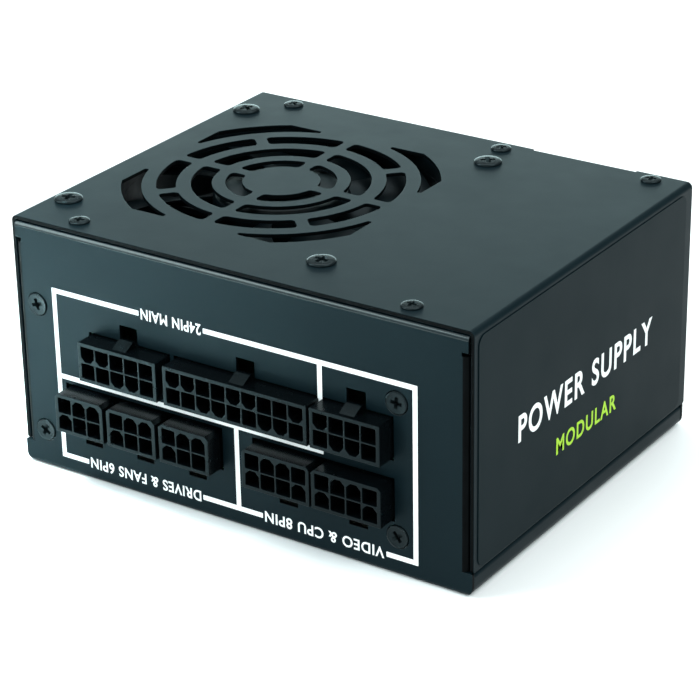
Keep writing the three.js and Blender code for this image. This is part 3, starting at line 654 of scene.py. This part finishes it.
def board_look():
    """Green solder mask with the faint relief of the tracks under it."""
    look = Look("circuit_board", 0.35, coat=0.2)
    tracks = look.node("TexVoronoi", look.place, Scale=0.25 / MM)
    tracks.distance = "MANHATTAN"
    edges = look.ramp(tracks.outputs["Distance"], 0, 1, 0.25, 0.32)
    look.colour(look.blend(edges, (0.012, 0.075, 0.03), (0.02, 0.12, 0.05)))
    look.roughness(look.ramp(look.noise(4), 0.3, 0.42))
    return look.bump(edges, 0.02)


def aluminium_look():
    """Extruded aluminium with fine draw lines."""
    look = Look("extruded_aluminium", 0.35, metallic=1.0)
    lines = look.noise(0.4, detail=2, stretch=(1, 1, 0.04))
    look.colour(look.blend(lines, (0.5, 0.51, 0.53), (0.68, 0.69, 0.71)))
    look.roughness(look.ramp(lines, 0.28, 0.45))
    return look.bump(lines, 0.01)


# ---- case
def top_cover(looks):
    """One blank with all its holes, folded down along both sides."""
    flat = SIDE_X - FOLD_RADIUS
    fold_length = fold(FOLD_RADIUS)[0]
    wall = TOP_Z - FOLD_RADIUS - SEAM_Z
    half = flat + fold_length + wall
    front, rear = COVER_LOW.y + COVER_SETBACK, COVER_HIGH.y
    relief = {"from": 19.4, "to": 47.7, "depth": 0.7}
    r = 0.5  # of the blank's corners
    outline = (
        arc(-half + r, front + r, r, 180, 270, 3)
        + arc(half - r, front + r, r, 270, 360, 3)
        + arc(half - r, rear - r, r, 0, 90, 3)
        + [(relief["to"], rear), (relief["to"], rear - relief["depth"])]
        + [(relief["from"], rear - relief["depth"]), (relief["from"], rear)]
        + arc(-half + r, rear - r, r, 90, 180, 3)
    )
    holes = grille_holes()
    holes += [circle(*centre_mm(node).xy, SCREW_HOLE, 16) for node in COVER_SCREWS + FAN_SCREWS]
    bm = slab([outline, *holes], SHEET, edge=0.08)
    mark_cut_faces(bm)
    line = FoldLine((SIDE_X, SEAM_Z), 90, [
        (wall, 0), fold(FOLD_RADIUS), (2 * flat, 0), fold(FOLD_RADIUS), (wall, 0)])
    for mark in line.creases():
        creased(bm, (half - mark, 0, 0), (1, 0, 0))
    for vertex in bm.verts:
        place = line.at(half - vertex.co.x, SHEET - vertex.co.z)
        vertex.co = (place.x, vertex.co.y, place.y)
    return piece("case_top_cover", bm, [looks["coat"], looks["edge"]],
                 replaces=["top_cover"], sharp=20)


def face_outline(lip, bottom):
    """Half of a socket or mains face's blank, as (x, distance) points from the lip to the floor.
    Distances run along the outside from the lip's edge. The face has an ear that folds back,
    a cut at each end of it, and a foot as wide as the case with a rounded corner."""
    face_top = lip - LIP_RADIUS + fold(LIP_RADIUS)[0]
    ear = CHANNEL_X - FOLD_RADIUS + fold(FOLD_RADIUS)[0] + EAR

    def at_height(z):
        if z >= FOLD_RADIUS:
            return face_top + LIP_Z - LIP_RADIUS - z
        angle = math.asin(1 - z / FOLD_RADIUS)
        return face_top + LIP_Z - LIP_RADIUS - FOLD_RADIUS + FOLD_RADIUS * angle

    cut = 2  # of the lip's corners
    points = [(CHANNEL_X - cut, 0), (CHANNEL_X, cut), (CHANNEL_X, at_height(RELIEF["high"]))]
    notch = CHANNEL_X - RELIEF["depth"]
    points += [(notch, at_height(RELIEF["high"])), (notch, at_height(RELIEF["low"]))]
    points += [(ear, at_height(RELIEF["low"] - 0.3)), (ear, at_height(SEAM_Z + 0.15))]
    foot_top = SEAM_Z - 0.005
    points += [(notch, at_height(SEAM_Z)), (notch, at_height(foot_top))]
    points += [(SIDE_X - 0.2, at_height(foot_top)), (SIDE_X, at_height(foot_top - 0.2))]
    for i in range(9):
        angle = math.radians(90 * i / 8)
        x = SIDE_X - FOOT_RADIUS + FOOT_RADIUS * math.cos(angle)
        points.append((x, at_height(FOOT_RADIUS - FOOT_RADIUS * math.sin(angle))))
    floor_start = at_height(0)
    points.append((SIDE_X - FOOT_RADIUS - 0.4, floor_start + bottom))
    return points, at_height


def folded_face(outward, lip, bottom, holes):
    """The socket face (outward -1) or the mains face (outward 1) with its lip and part of the
    floor. holes are loops of (x, height) on the flat of the face."""
    half, at_height = face_outline(lip, bottom)
    outline = half + [(-x, d) for x, d in reversed(half)]
    loops = [outline]
    for loop in holes["face"]:
        loops.append([(x, at_height(z)) for x, z in loop])
    for x, y in holes["lip"]:
        distance = lip - abs(y - (FRONT_Y if outward < 0 else REAR_Y))
        loops.append(circle(x, distance, SCREW_HOLE, 16))
    bm = slab(loops, SHEET, edge=0.08)
    mark_cut_faces(bm)
    ears = FoldLine((CHANNEL_X - FOLD_RADIUS, 0), 0, [fold(FOLD_RADIUS), (EAR, 0)])
    flat = CHANNEL_X - FOLD_RADIUS
    for side in (-1, 1):
        for mark in ears.creases():
            creased(bm, (side * (flat + mark), 0, 0), (1, 0, 0))
    line = FoldLine((lip, LIP_Z), 180, [
        (lip - LIP_RADIUS, 0), fold(LIP_RADIUS), (LIP_Z - LIP_RADIUS - FOLD_RADIUS, 0),
        fold(FOLD_RADIUS), (bottom, 0)])
    for mark in line.creases():
        creased(bm, (0, mark, 0), (0, 1, 0))
    # The ears between the relief cuts get the dark cut-edge look: painted shade for the gap behind the
    # cover's walls.
    ear_top, ear_low = at_height(RELIEF["low"]), at_height(SEAM_Z)
    for face in bm.faces:
        centre = face.calc_center_median()
        if abs(centre.x) > flat + 0.1 and ear_top < centre.y < ear_low:
            face.material_index = 1
    for vertex in bm.verts:
        x, distance, depth = vertex.co.x, vertex.co.y, SHEET - vertex.co.z
        if abs(x) > flat and ear_top - 0.01 <= distance <= ear_low + 0.01:
            folded = ears.at(abs(x) - flat, depth)
            x, depth = math.copysign(folded.x, x), folded.y
        place = line.at(distance, depth)
        y = FRONT_Y + place.x if outward < 0 else REAR_Y - place.x
        vertex.co = (x, y, place.y)
    if bm.calc_volume(signed=True) < 0:
        bmesh.ops.reverse_faces(bm, faces=bm.faces)
    bm.normal_update()
    for face in bm.faces:
        up, out = face.normal.z, face.normal.y * outward
        if face.material_index == 0 and up > 0.1 and out > 0.1:
            face.material_index = 2
    return bm


def floor_channel():
    """The floor with the low skirts that show below the cover, stepped in behind its walls."""
    top, shoulder, skirt = 14, 5.6, 4.4  # heights
    step, corner, inset = 1.1, 0.1, 0.06  # radii of the shoulder's two folds; how far it lies in
    runs = [
        (top - shoulder, 0), (corner * math.pi / 2, -90), fold(step), (skirt - FOOT_RADIUS, 0),
        fold(FOOT_RADIUS), (SIDE_X - FOOT_RADIUS - inset, 0),
    ]
    line = FoldLine((-SIDE_X + step + corner + inset, top), 270, runs)
    marks = sorted(set([0.0, line.length] + line.creases()))
    outside = [line.at(mark, 0) for mark in marks]
    inside = [line.at(mark, SHEET) for mark in marks]
    outline = [(p.x, p.y) for p in outside] + [(-p.x, p.y) for p in reversed(outside)]
    outline += [(-p.x, p.y) for p in inside] + [(p.x, p.y) for p in reversed(inside)]
    outline = [p for p, q in zip(outline, outline[1:] + outline[:1])
               if math.hypot(p[0] - q[0], p[1] - q[1]) > 0.01]
    length = REAR_Y - FRONT_Y - 2 * SHEET - 0.1
    bm = slab([outline], length, edge=0.06)
    return faced(bm, "front", (0, (FRONT_Y + REAR_Y) / 2 + length / 2, 0))


def socket_boxes():
    """Every socket's name, centre X and Z, width, latch side and keyed cells, in its groups."""
    groups = []
    for latch, members in SOCKET_GROUPS:
        group = []
        for name, keyed in members:
            low, high = box_mm(name)
            z = (low.z if latch > 0 else high.z) + latch * SOCKET_HEIGHT / 2
            group.append((name, (low.x + high.x) / 2, z, high.x - low.x, latch, keyed))
        groups.append(group)
    return groups


def socket_openings():
    """The openings of the socket face: one for each group, with a notch for every latch."""
    loops = []
    for group in socket_boxes():
        z, latch = group[0][2], group[0][4]
        left = group[0][1] - group[0][3] / 2 - SOCKET_OPENING
        right = group[-1][1] + group[-1][3] / 2 + SOCKET_OPENING
        reach = SOCKET_HEIGHT / 2 + SOCKET_OPENING
        edge, window = z + latch * reach, z + latch * (SOCKET_HEIGHT / 2 + LATCH["height"])
        loop = [(left, z - latch * reach), (left, edge)]
        for _, x, *_ in group:
            half = LATCH["width"] / 2
            loop += [(x - half, edge), (x - half, window), (x + half, window), (x + half, edge)]
        loops.append(loop + [(right, edge), (right, z - latch * reach)])
    for node in SOCKET_SCREWS:
        centre = centre_mm(node)
        loops.append(circle(centre.x, centre.z, SUNK_HEAD + 0.16))
    return loops


def mains_openings():
    """The openings of the mains face: inlet, switch, fixing holes and the honeycomb."""
    inlet, switch = centre_mm("ac_inlet"), centre_mm("switch_housing")
    loops = [
        centred_box(inlet.x, inlet.z, 26.6, 19.4, 0.5, 2),
        centred_box(switch.x, switch.z, 19.4, 13.2, 0.5, 2),
    ]
    loops += [circle(x, z, 1.6, 20) for x in (-56.5, 56.5) for z in (6, 57.5)]
    flats, pitch, first_x, first_z = 6.4, 7.5, -49.5, 14.5
    for row in range(6):
        for column in range(9 - row % 2):
            x = first_x + (column + row % 2 / 2) * pitch
            z = first_z + row * pitch * math.sqrt(3) / 2
            loops.append(arc(x, z, flats / math.sqrt(3), 30, 390, 6)[:-1])
    return loops


def base_shell(looks):
    lips = {"front": [], "rear": []}
    for node in COVER_SCREWS:
        centre = centre_mm(node)
        lips["front" if centre.y < 0 else "rear"].append((centre.x, centre.y))
    front = folded_face(-1, 10.3, 3, {"face": socket_openings(), "lip": lips["front"]})
    rear = folded_face(1, 8.5, 3, {"face": mains_openings(), "lip": lips["rear"]})
    shell = combined(combined(floor_channel(), front, "UNION"), rear, "UNION")
    return piece("case_base_shell", shell, [looks["coat"], looks["edge"], looks["fold"]],
                 replaces=["base_shell"], sharp=20)


# ---- screws
def cross_recess(reach, depth):
    """A tapered cross that cuts a screwdriver recess, with its top just above height 0."""
    arms = []
    for turn in (0, 90):
        bm = slab([centred_box(0, 0, 2 * reach, reach * 0.56, 0.05, 1)], depth + 0.4, edge=0.01, rounds=0)
        moved(bm, 0, 0, -depth)
        for vertex in bm.verts:
            if vertex.co.z < -depth / 2:
                vertex.co.x *= 0.45
                vertex.co.y *= 0.8
        arms.append(spun(bm, turn))
    return combined(*arms, "UNION")


def screw_head(radius, rise, sink):
    """A head with a short shank below it. It stands above height 0 by its rise. A head that also
    sinks below it is flat, and the others are domed."""
    profile = [(0, -3), (SCREW_HOLE - 0.2, -3), (SCREW_HOLE - 0.2, -sink), (radius * 0.97, -sink),
               (radius, 0.1 - sink)]
    if sink == 0:
        profile += [(radius * 0.99, rise * 0.5), (radius * 0.95, rise * 0.74), (radius * 0.88, rise * 0.88),
                    (radius * 0.76, rise * 0.96), (radius * 0.5, rise), (0, rise)]
    else:
        profile += [(radius, rise * 0.4), (radius * 0.97, rise * 0.85), (radius * 0.92, rise),
                    (radius * 0.85, rise * 0.8), (0, rise * 0.8)]
    head = turned(profile, 48)
    recess = cross_recess(radius * 0.62, rise + sink + 0.3)
    return combined(head, moved(recess, 0, 0, rise), "DIFFERENCE")


def add_screws(looks):
    """Every screw that shows, each turned a different way as if driven by hand."""
    kinds = [
        # nodes, radius, rise, sink, facing, and the one coordinate of the seat that is given
        (COVER_SCREWS, 2.5, 0.55, 0, "up", (0, 0, TOP_Z + 0.03)),
        (FAN_SCREWS, 3.4, 0.7, 0, "up", (0, 0, TOP_Z + 0.03)),
        (SOCKET_SCREWS, SUNK_HEAD, 0.3, 0.65, "front", (0, FRONT_Y, 0)),
    ]
    for nodes, radius, rise, sink, facing, plane in kinds:
        for i, node in enumerate(nodes):
            centre = centre_mm(node)
            seat = Vector([plane[k] if plane[k] else centre[k] for k in range(3)])
            bm = screw_head(radius, rise, sink)
            spin = Matrix.Rotation(math.radians(17 + 67 * i), 4, "Z")
            bm = transformed(bm, Matrix.Translation(seat), FACING[facing], spin)
            piece(f"screw_{node}", bm, looks["screw"], replaces=[node])


# ---- cable sockets
def cell_outline(x, z, latch, keyed):
    half, nip = CELL["size"] / 2, CELL["nip"]
    if not keyed:
        return centred_box(x, z, 2 * half, 2 * half, 0.25, 2)
    away = -latch
    return [
        (x - half, z + away * (half - nip)), (x - half + nip, z + away * half),
        (x + half - nip, z + away * half), (x + half, z + away * (half - nip)),
        (x + half, z - away * half), (x - half, z - away * half),
    ]


def contact_pin(x, z, floor):
    """A square contact pin with a pointed tip."""
    side, length, tip, point = 1, 5.6, 1.2, 0.45
    bm = slab([centred_box(0, 0, side, side, 0.1, 1)], length, edge=0.05)
    for vertex in bm.verts:
        if vertex.co.z > length - 0.2:
            vertex.co.x *= point
            vertex.co.y *= point
    creased(bm, (0, 0, length - tip), (0, 0, 1))
    return faced(bm, "front", (x, floor, z))


def add_sockets(looks):
    for group in socket_boxes():
        for name, x, z, width, latch, keyed in group:
            outline = clipped_box(width / 2, SOCKET_HEIGHT / 2, 0.9 if latch < 0 else 0.25)
            columns = len(keyed[0])
            cells, pins = [], []
            floor = SOCKET_FRONT + CELL["depth"]
            for r, row in enumerate(keyed):
                for c, flag in enumerate(row):
                    cx, cz = (c - (columns - 1) / 2) * CELL["pitch"], (0.5 - r) * CELL["pitch"]
                    cells.append(cell_outline(cx, cz, latch, flag == "1"))
                    pins.append(contact_pin(x + cx, z + cz, floor))
            grid = faced(slab([outline, *cells], CELL["depth"], edge=0.08), "front", (x, floor, z))
            back = faced(slab([outline], SOCKET_BACK - floor, edge=0.09), "front", (x, SOCKET_BACK, z))
            body = joined(grid, back, latch_ramp(x, z, latch))
            piece(f"{name}_housing", body, looks["socket"], replaces=[name], sharp=20)
            piece(f"{name}_contacts", joined(*pins), looks["tin"])


def latch_ramp(x, z, latch):
    """The wedge that a plug's latch hooks over."""
    half = SOCKET_HEIGHT / 2
    wedge = [(0.5, half - 0.3), (4.7, half - 0.3), (4.7, half + 1.5), (3.9, half + 1.5)]
    loop = [(SOCKET_FRONT + y, z + latch * h) for y, h in wedge]
    return faced(slab([loop], LATCH["ramp"], edge=0.12), "right", (x - LATCH["ramp"] / 2, 0, 0))


# ---- fan
def fan_blade(angle, hub, tip, middle_z):
    """One blade: a curved plate that climbs round the hub, thicker in its middle."""
    across, along = 10, 14
    bm = bmesh.new()
    grid = {}
    for side in (-1, 1):
        for i in range(across + 1):
            for j in range(along + 1):
                out, run = i / across, j / along - 0.5
                radius = hub + out * (tip - hub)
                arch = 1 - 4 * run * run
                turn = angle + run * 0.62 + 0.16 * out * out
                climb = (8.2 - 1.6 * out) * run + 1.1 * arch
                thickness = 0.25 + 0.4 * arch
                z = middle_z + climb + side * thickness
                grid[side, i, j] = bm.verts.new((radius * math.cos(turn), radius * math.sin(turn), z))
    for i in range(across):
        for j in range(along):
            for side in (-1, 1):
                bm.faces.new([grid[side, i, j], grid[side, i + 1, j], grid[side, i + 1, j + 1],
                              grid[side, i, j + 1]][::side])
    for i in range(across):
        for j in (0, along):
            bm.faces.new([grid[-1, i, j], grid[1, i, j], grid[1, i + 1, j], grid[-1, i + 1, j]])
    for j in range(along):
        for i in (0, across):
            bm.faces.new([grid[-1, i, j], grid[-1, i, j + 1], grid[1, i, j + 1], grid[1, i, j]])
    bmesh.ops.recalc_face_normals(bm, faces=bm.faces)
    return bm


def add_fan(looks):
    low, high = box_mm("fan_rotor")
    axis = Vector((FAN_CENTRE.x, FAN_CENTRE.y, 0))
    frame_low, frame_high = box_mm("fan_frame")
    hub, inside, tip, bore = 16.5, 13.2, 36.9, 38.2  # radii
    cap, flange, ring = 1.8, 3.5, 3.4  # thicknesses; where the frame's ring starts
    blade_count, hole_pitch, hole = 9, 71.5, 2.15
    cup = turned([
        (0, high.z - 0.5), (5, high.z - 0.5), (5.4, high.z), (hub - 1.6, high.z), (hub - 0.6, high.z - 0.4),
        (hub, high.z - 1.4), (hub, low.z), (inside, low.z), (inside, high.z - cap), (0, high.z - cap),
    ], 72)
    angles = [2 * math.pi * i / blade_count for i in range(blade_count)]
    blades = [fan_blade(angle, hub - 0.4, tip, frame_low.z + 8.6) for angle in angles]
    rotor = moved(joined(cup, *blades), *axis)
    piece("fan_impeller_moulding", rotor, looks["fan"], body="fan_impeller",
          replaces=["fan_rotor"])

    base, top = high.z + 0.01, high.z + 0.06
    disc = turned([(0, base), (14.2, base), (14.2, top), (0, top)], 72)
    piece("fan_hub_disc", moved(disc, *axis), looks["hub"], body="fan_impeller")

    size, out = frame_high.x - frame_low.x, hole_pitch / 2
    corners = [circle(i * out, j * out, hole, 20) for i in (-1, 1) for j in (-1, 1)]
    plate = [centred_box(0, 0, size, size, 4, 6), circle(0, 0, bore, 96), *corners]
    parts = []
    for z in (frame_low.z, frame_high.z - flange):
        parts.append(moved(slab(plate, flange, edge=0.25), 0, 0, z))
    base, top = frame_low.z + ring, frame_high.z - ring
    wall = bore + 1.4
    parts.append(turned([(bore, base), (wall, base), (wall, top), (bore, top), (bore, base)], 96))
    seat = turned([
        (3.3, 0), (hub + 0.5, 0), (hub + 0.5, 1.2), (4.2, 1.2), (4.2, 9.7), (3.3, 9.7), (3.3, 0)], 64)
    parts.append(moved(seat, 0, 0, frame_low.z))
    for turn in range(4):
        arm = slab([[(hub, -1.6), (bore + 0.6, -1.6), (bore + 0.6, 1.6), (hub, 1.6)]], 2.6, edge=0.2)
        parts.append(spun(moved(arm, 0, 0, frame_low.z), 90 * turn))
    piece("fan_housing", moved(joined(*parts), *axis), looks["fan"],
          replaces=["fan_frame"])


# ---- mains inlet and switch
def add_inlet(looks):
    low, high = box_mm("ac_inlet")
    x, z = (low.x + high.x) / 2, (low.z + high.z) / 2
    flange, depth = 2.2, 16
    well = clipped_box(12.2, 8.1, 4.6)
    walls = centred_box(0, 0, 26, 18.8, 1, 4)
    rim = slab([centred_box(0, 0, high.x - low.x, high.z - low.z, 2.2, 6), well], flange, edge=0.3, rounds=2)
    tube = slab([walls, well], 13.8, edge=0.05)
    back = slab([walls], 5.8, edge=0.3)
    body = joined(
        faced(rim, "rear", (x, high.y - flange, z)),
        faced(tube, "rear", (x, high.y - depth, z)),
        faced(back, "rear", (x, low.y, z)),
    )
    piece("mains_inlet_body", body, looks["inlet"], replaces=["ac_inlet"])
    for node in ("inlet_line_blade", "inlet_neutral_blade", "inlet_earth_blade"):
        blade_low, blade_high = box_mm(node)
        size = blade_high - blade_low
        blade = slab([centred_box(0, 0, size.x, size.z, 0.5, 3)], size.y, edge=0.35, rounds=3)
        centre = (blade_low + blade_high) / 2
        piece(f"{node}_contact", faced(blade, "rear", (centre.x, blade_low.y, centre.z)), looks["tin"],
              replaces=[node])


def add_switch(looks):
    low, high = box_mm("switch_housing")
    x, z = (low.x + high.x) / 2, (low.z + high.z) / 2
    face, shell_y, back_y = REAR_Y + 0.1, 42.5, 34
    well = centred_box(0, 0, 16.4, 10.2, 0.4, 3)
    rim = slab([centred_box(0, 0, high.x - low.x, high.z - low.z, 1.5, 6), well], high.y - face, edge=0.35,
               rounds=3)
    walls = centred_box(0, 0, 18.8, 12.6, 0.4, 3)
    shell = slab([walls, well], 7, edge=0.05)
    back = slab([walls], 8.6, edge=0.3)
    tabs = []
    for side in (-1, 1):
        tab = slab([centred_box(side * 5, 0, 0.8, 4.8, 0.1, 1)], 7, edge=0.1)
        tabs.append(faced(tab, "rear", (x, low.y, z)))
    body = joined(
        faced(rim, "rear", (x, face, z)),
        faced(shell, "rear", (x, shell_y, z)),
        faced(back, "rear", (x, back_y, z)),
        *tabs,
    )
    piece("mains_switch_housing", body, looks["inlet"], replaces=["switch_housing"])

    joint = [j for j in frame["joints"] if j["name"] == "switch_rock"][0]
    pivot = Vector(joint["pos_m"]) / MM
    half, height = 7.6, 9.4
    out = 4.4  # how far the marks lie from the rocker's middle

    def surface(x):
        """The height of the rocker's hollow face above its pivot."""
        return 2.0 + 1.3 * (x / half) ** 2

    section = (
        [(half, -1.4), (half, 3.0)]
        + arc(half - 0.5, 2.9, 0.5, 10, 80, 3)
        + [(x, surface(x)) for x in [half * (1 - i / 8) for i in range(1, 16)]]
        + arc(0.5 - half, 2.9, 0.5, 100, 170, 3)
        + [(-half, 3.0), (-half, -1.4), (-3, -2.4)]
        + arc(0, 0, 3.9, 218, 322, 10)
        + [(3, -2.4)]
    )
    rocker = moved(slab([section], height, edge=0.3, rounds=2), 0, 0, -height / 2)
    pin = turned([(0, -6), (1, -6), (1, 6), (0, 6)], 24)
    place = Matrix.Translation(pivot) @ Matrix.Rotation(math.radians(-10), 4, "Z")
    piece("mains_switch_rocker", transformed(joined(rocker, pin), place), looks["inlet"],
          body="mains_rocker", replaces=["switch_rocker"])
    bar = slab([centred_box(0, 0, 0.7, 3.4, 0.1, 1)], 0.12, edge=0.03)
    ring = slab([circle(0, 0, 1.9, 40), circle(0, 0, 1.3, 40)], 0.12, edge=0.03)
    for name, mark, side in (("on", bar, -1), ("off", ring, 1)):
        spot = Matrix.Translation((side * out, surface(out), 0))
        tilt = Matrix.Rotation(math.radians(side * 9), 4, "Z")
        mark = transformed(faced(mark, "rear"), place, spot, tilt)
        piece(f"switch_mark_{name}", mark, looks["print"], body="mains_rocker")


# ---- print and labels
CAPITAL_HEIGHT = 0.69  # of the built-in font's size
PRINT_Y = FRONT_Y - 0.01  # on the socket face


def lettering(text, height, bold, spacing=1.1, thickness=0.03):
    """Flat capital letters centred on the origin, height tall."""
    curve = bpy.data.curves.new("text", "FONT")
    curve.body = text
    curve.size = height * MM / CAPITAL_HEIGHT
    curve.extrude = thickness * MM / 2
    curve.offset = bold * height * MM
    curve.space_character = spacing
    curve.align_x = "CENTER"
    return moved(drawn(curve), 0, -height / 2, thickness / 2)


def fitted(bm, width):
    """Stretches lettering to a width, centred."""
    low, high = min(v.co.x for v in bm.verts), max(v.co.x for v in bm.verts)
    for vertex in bm.verts:
        vertex.co.x = (vertex.co.x - (low + high) / 2) * width / (high - low)
    return bm


def strip(x0, z0, x1, z1, thickness=0.03):
    return slab([rounded_box(x0, z0, x1, z1, 0.12, 2)], thickness, edge=0.005, rounds=0)


def add_socket_print(looks):
    """White rules round the socket groups, broken by the legends, which read upside down."""
    half = 0.62
    left, right, low, high = -50.75, 48.1, 4.6, 47.2
    across = 0.034  # the cross rules lie a hair higher, so that their tops don't share a plane
    middle, lower_split, upper_split = 25.5, 0.35, 23.5
    legends = [
        ("24PIN MAIN", -16.95, high, 18.1), ("DRIVES & FANS 6PIN", -26.6, low, 33.6),
        ("VIDEO & CPU 8PIN", 23.7, low, 33.4),
    ]
    rules = [
        strip(left - half, low - half, left + half, high + half),
        strip(right - half, low - half, right + half, high + half),
        strip(left - half + 0.1, middle - half, upper_split + half, middle + half, across),
        strip(lower_split - half, low, lower_split + half, middle),
        strip(upper_split - half, middle, upper_split + half, high),
    ]
    for height in (low, high):
        gaps = sorted((x - width / 2, x + width / 2) for _, x, z, width in legends if z == height)
        start = left
        for gap_start, gap_end in gaps + [(right, right)]:
            rules.append(strip(start, height - half, gap_start, height + half, across))
            start = gap_end
    bm = joined(*[faced(rule, "front", (0, PRINT_Y, 0)) for rule in rules])
    piece("socket_face_rules", bm, looks["print"], weight=0)
    for i, (text, x, z, width) in enumerate(legends):
        letters = spun(fitted(lettering(text, 2.6, 0.026), width - 1.2), 180)
        letters = faced(letters, "front", (x, PRINT_Y, z))
        piece(f"socket_face_legend_{i + 1}", letters, looks["print"], weight=0)


def label_film(node, way, looks):
    """A label's film on the right or left wall. Returns the X of the print on it."""
    side = 1 if way == "right" else -1
    low, high = box_mm(node)
    loop = rounded_box(low.y, low.z, high.y, high.z, 2.5, 8)
    if side < 0:
        loop = [(-y, z) for y, z in loop]
    film = faced(slab([loop], 0.2, edge=0.05), way, (side * (SIDE_X + 0.02), 0, 0))
    piece(f"{node}_film", film, looks["label"], replaces=[node])
    return side * (SIDE_X + 0.225)


def add_side_label(looks):
    """A dark film with plain upright words, centred one above the other."""
    skin = label_film("side_label", "right", looks)
    words = [
        # text, look, width, base, height
        ("POWER SUPPLY", "print", 62, 30, 6.2), ("MODULAR", "green_print", 28, 19.5, 4),
    ]
    for text, look, width, base, height in words:
        letters = fitted(lettering(text, height, 0.03, 1.18), width)
        letters = faced(letters, "right", (skin, 0, base + height / 2))
        piece(f"label_word_{text.split()[-1].lower()}", letters, looks[look], weight=0)


def add_rating_label(looks):
    """A plain table of rules and two headings on the other side."""
    skin = label_film("rating_label", "left", looks)
    rules = []
    left, right, low, high = -40, 40, 14, 46
    for z in (low, 22, 30, 38, high):
        rules.append(strip(left, z - 0.15, right, z + 0.15))
    for x in (left, -24, -8, 8, 24, right):
        top = high if x in (left, right) else 38
        rules.append(strip(x - 0.15, low, x + 0.15, top))
    bm = joined(*[faced(rule, "left", (skin, 0, 0)) for rule in rules])
    piece("rating_label_table", bm, looks["print"], weight=0)
    for text, x, z, height in (("DC OUTPUT", 0, 42, 3), ("AC INPUT", 0, 52, 3)):
        letters = faced(lettering(text, height, 0.012), "left", (skin, -x, z))
        piece(f"rating_label_{text[:2].lower()}", letters, looks["print"], weight=0)


# ---- what stays from the CAD
def finish_cad_nodes(looks):
    """Gives every CAD node that still shows its own finish and softened edges."""
    finishes = {
        "film": ["insulator_sheet"],
        "board": ["main_board", "socket_board", "control_board", "fan_circuit_board"],
        "tin": ["fan_shaft", *(f"board_screw_{i}" for i in range(1, 5))],
        "brass": ["fan_bearing"],
        "copper": ["fan_stator", "emi_choke", "pfc_choke", "output_busbar"],
        "sheath": ["fan_cable", "line_wire", "neutral_wire"],
        "tape": ["x_capacitor", "standby_transformer"],
        "ferrite": ["main_transformer"],
        "sleeve": ["bridge_rectifier", "bulk_capacitor", "output_capacitor_1", "output_capacitor_2"],
        "aluminium": ["primary_heatsink", "secondary_heatsink"],
    }
    for node, look in [(node, look) for look, nodes in finishes.items() for node in nodes]:
        obj = frame["nodes"][node]
        obj.data.materials.clear()
        obj.data.materials.append(looks[look])
        merge = obj.modifiers.new("merge", "DECIMATE")
        merge.decimate_type = "DISSOLVE"
        merge.angle_limit = math.radians(2)
        bevel = obj.modifiers.new("edges", "BEVEL")
        bevel.width = 0.15 * MM
        bevel.segments = 2
        bevel.limit_method = "ANGLE"
        bevel.angle_limit = math.radians(40)
        shade_smooth(obj.data, 40)
        normals = obj.modifiers.new("normals", "WEIGHTED_NORMAL")
        normals.keep_sharp = True


def add_floor():
    """A plain pale table top under the case."""
    size, depth, gap = 3000, 20, 0.05
    top = slab([centred_box(0, 0, size, size, 40, 6)], depth, edge=1)
    floor = placed("floor", moved(top, 0, 0, -depth - gap))
    look = grained("floor", (0.86, 0.86, 0.86), (0.88, 0.88, 0.88), (0.6, 0.7), 3, 0.01, 200)
    floor.data.materials.append(look)


def main():
    add_camera()
    add_studio()
    looks = make_looks()
    top_cover(looks)
    base_shell(looks)
    add_screws(looks)
    add_sockets(looks)
    add_fan(looks)
    add_inlet(looks)
    add_switch(looks)
    add_socket_print(looks)
    add_side_label(looks)
    add_rating_label(looks)
    finish_cad_nodes(looks)
    add_floor()


main()
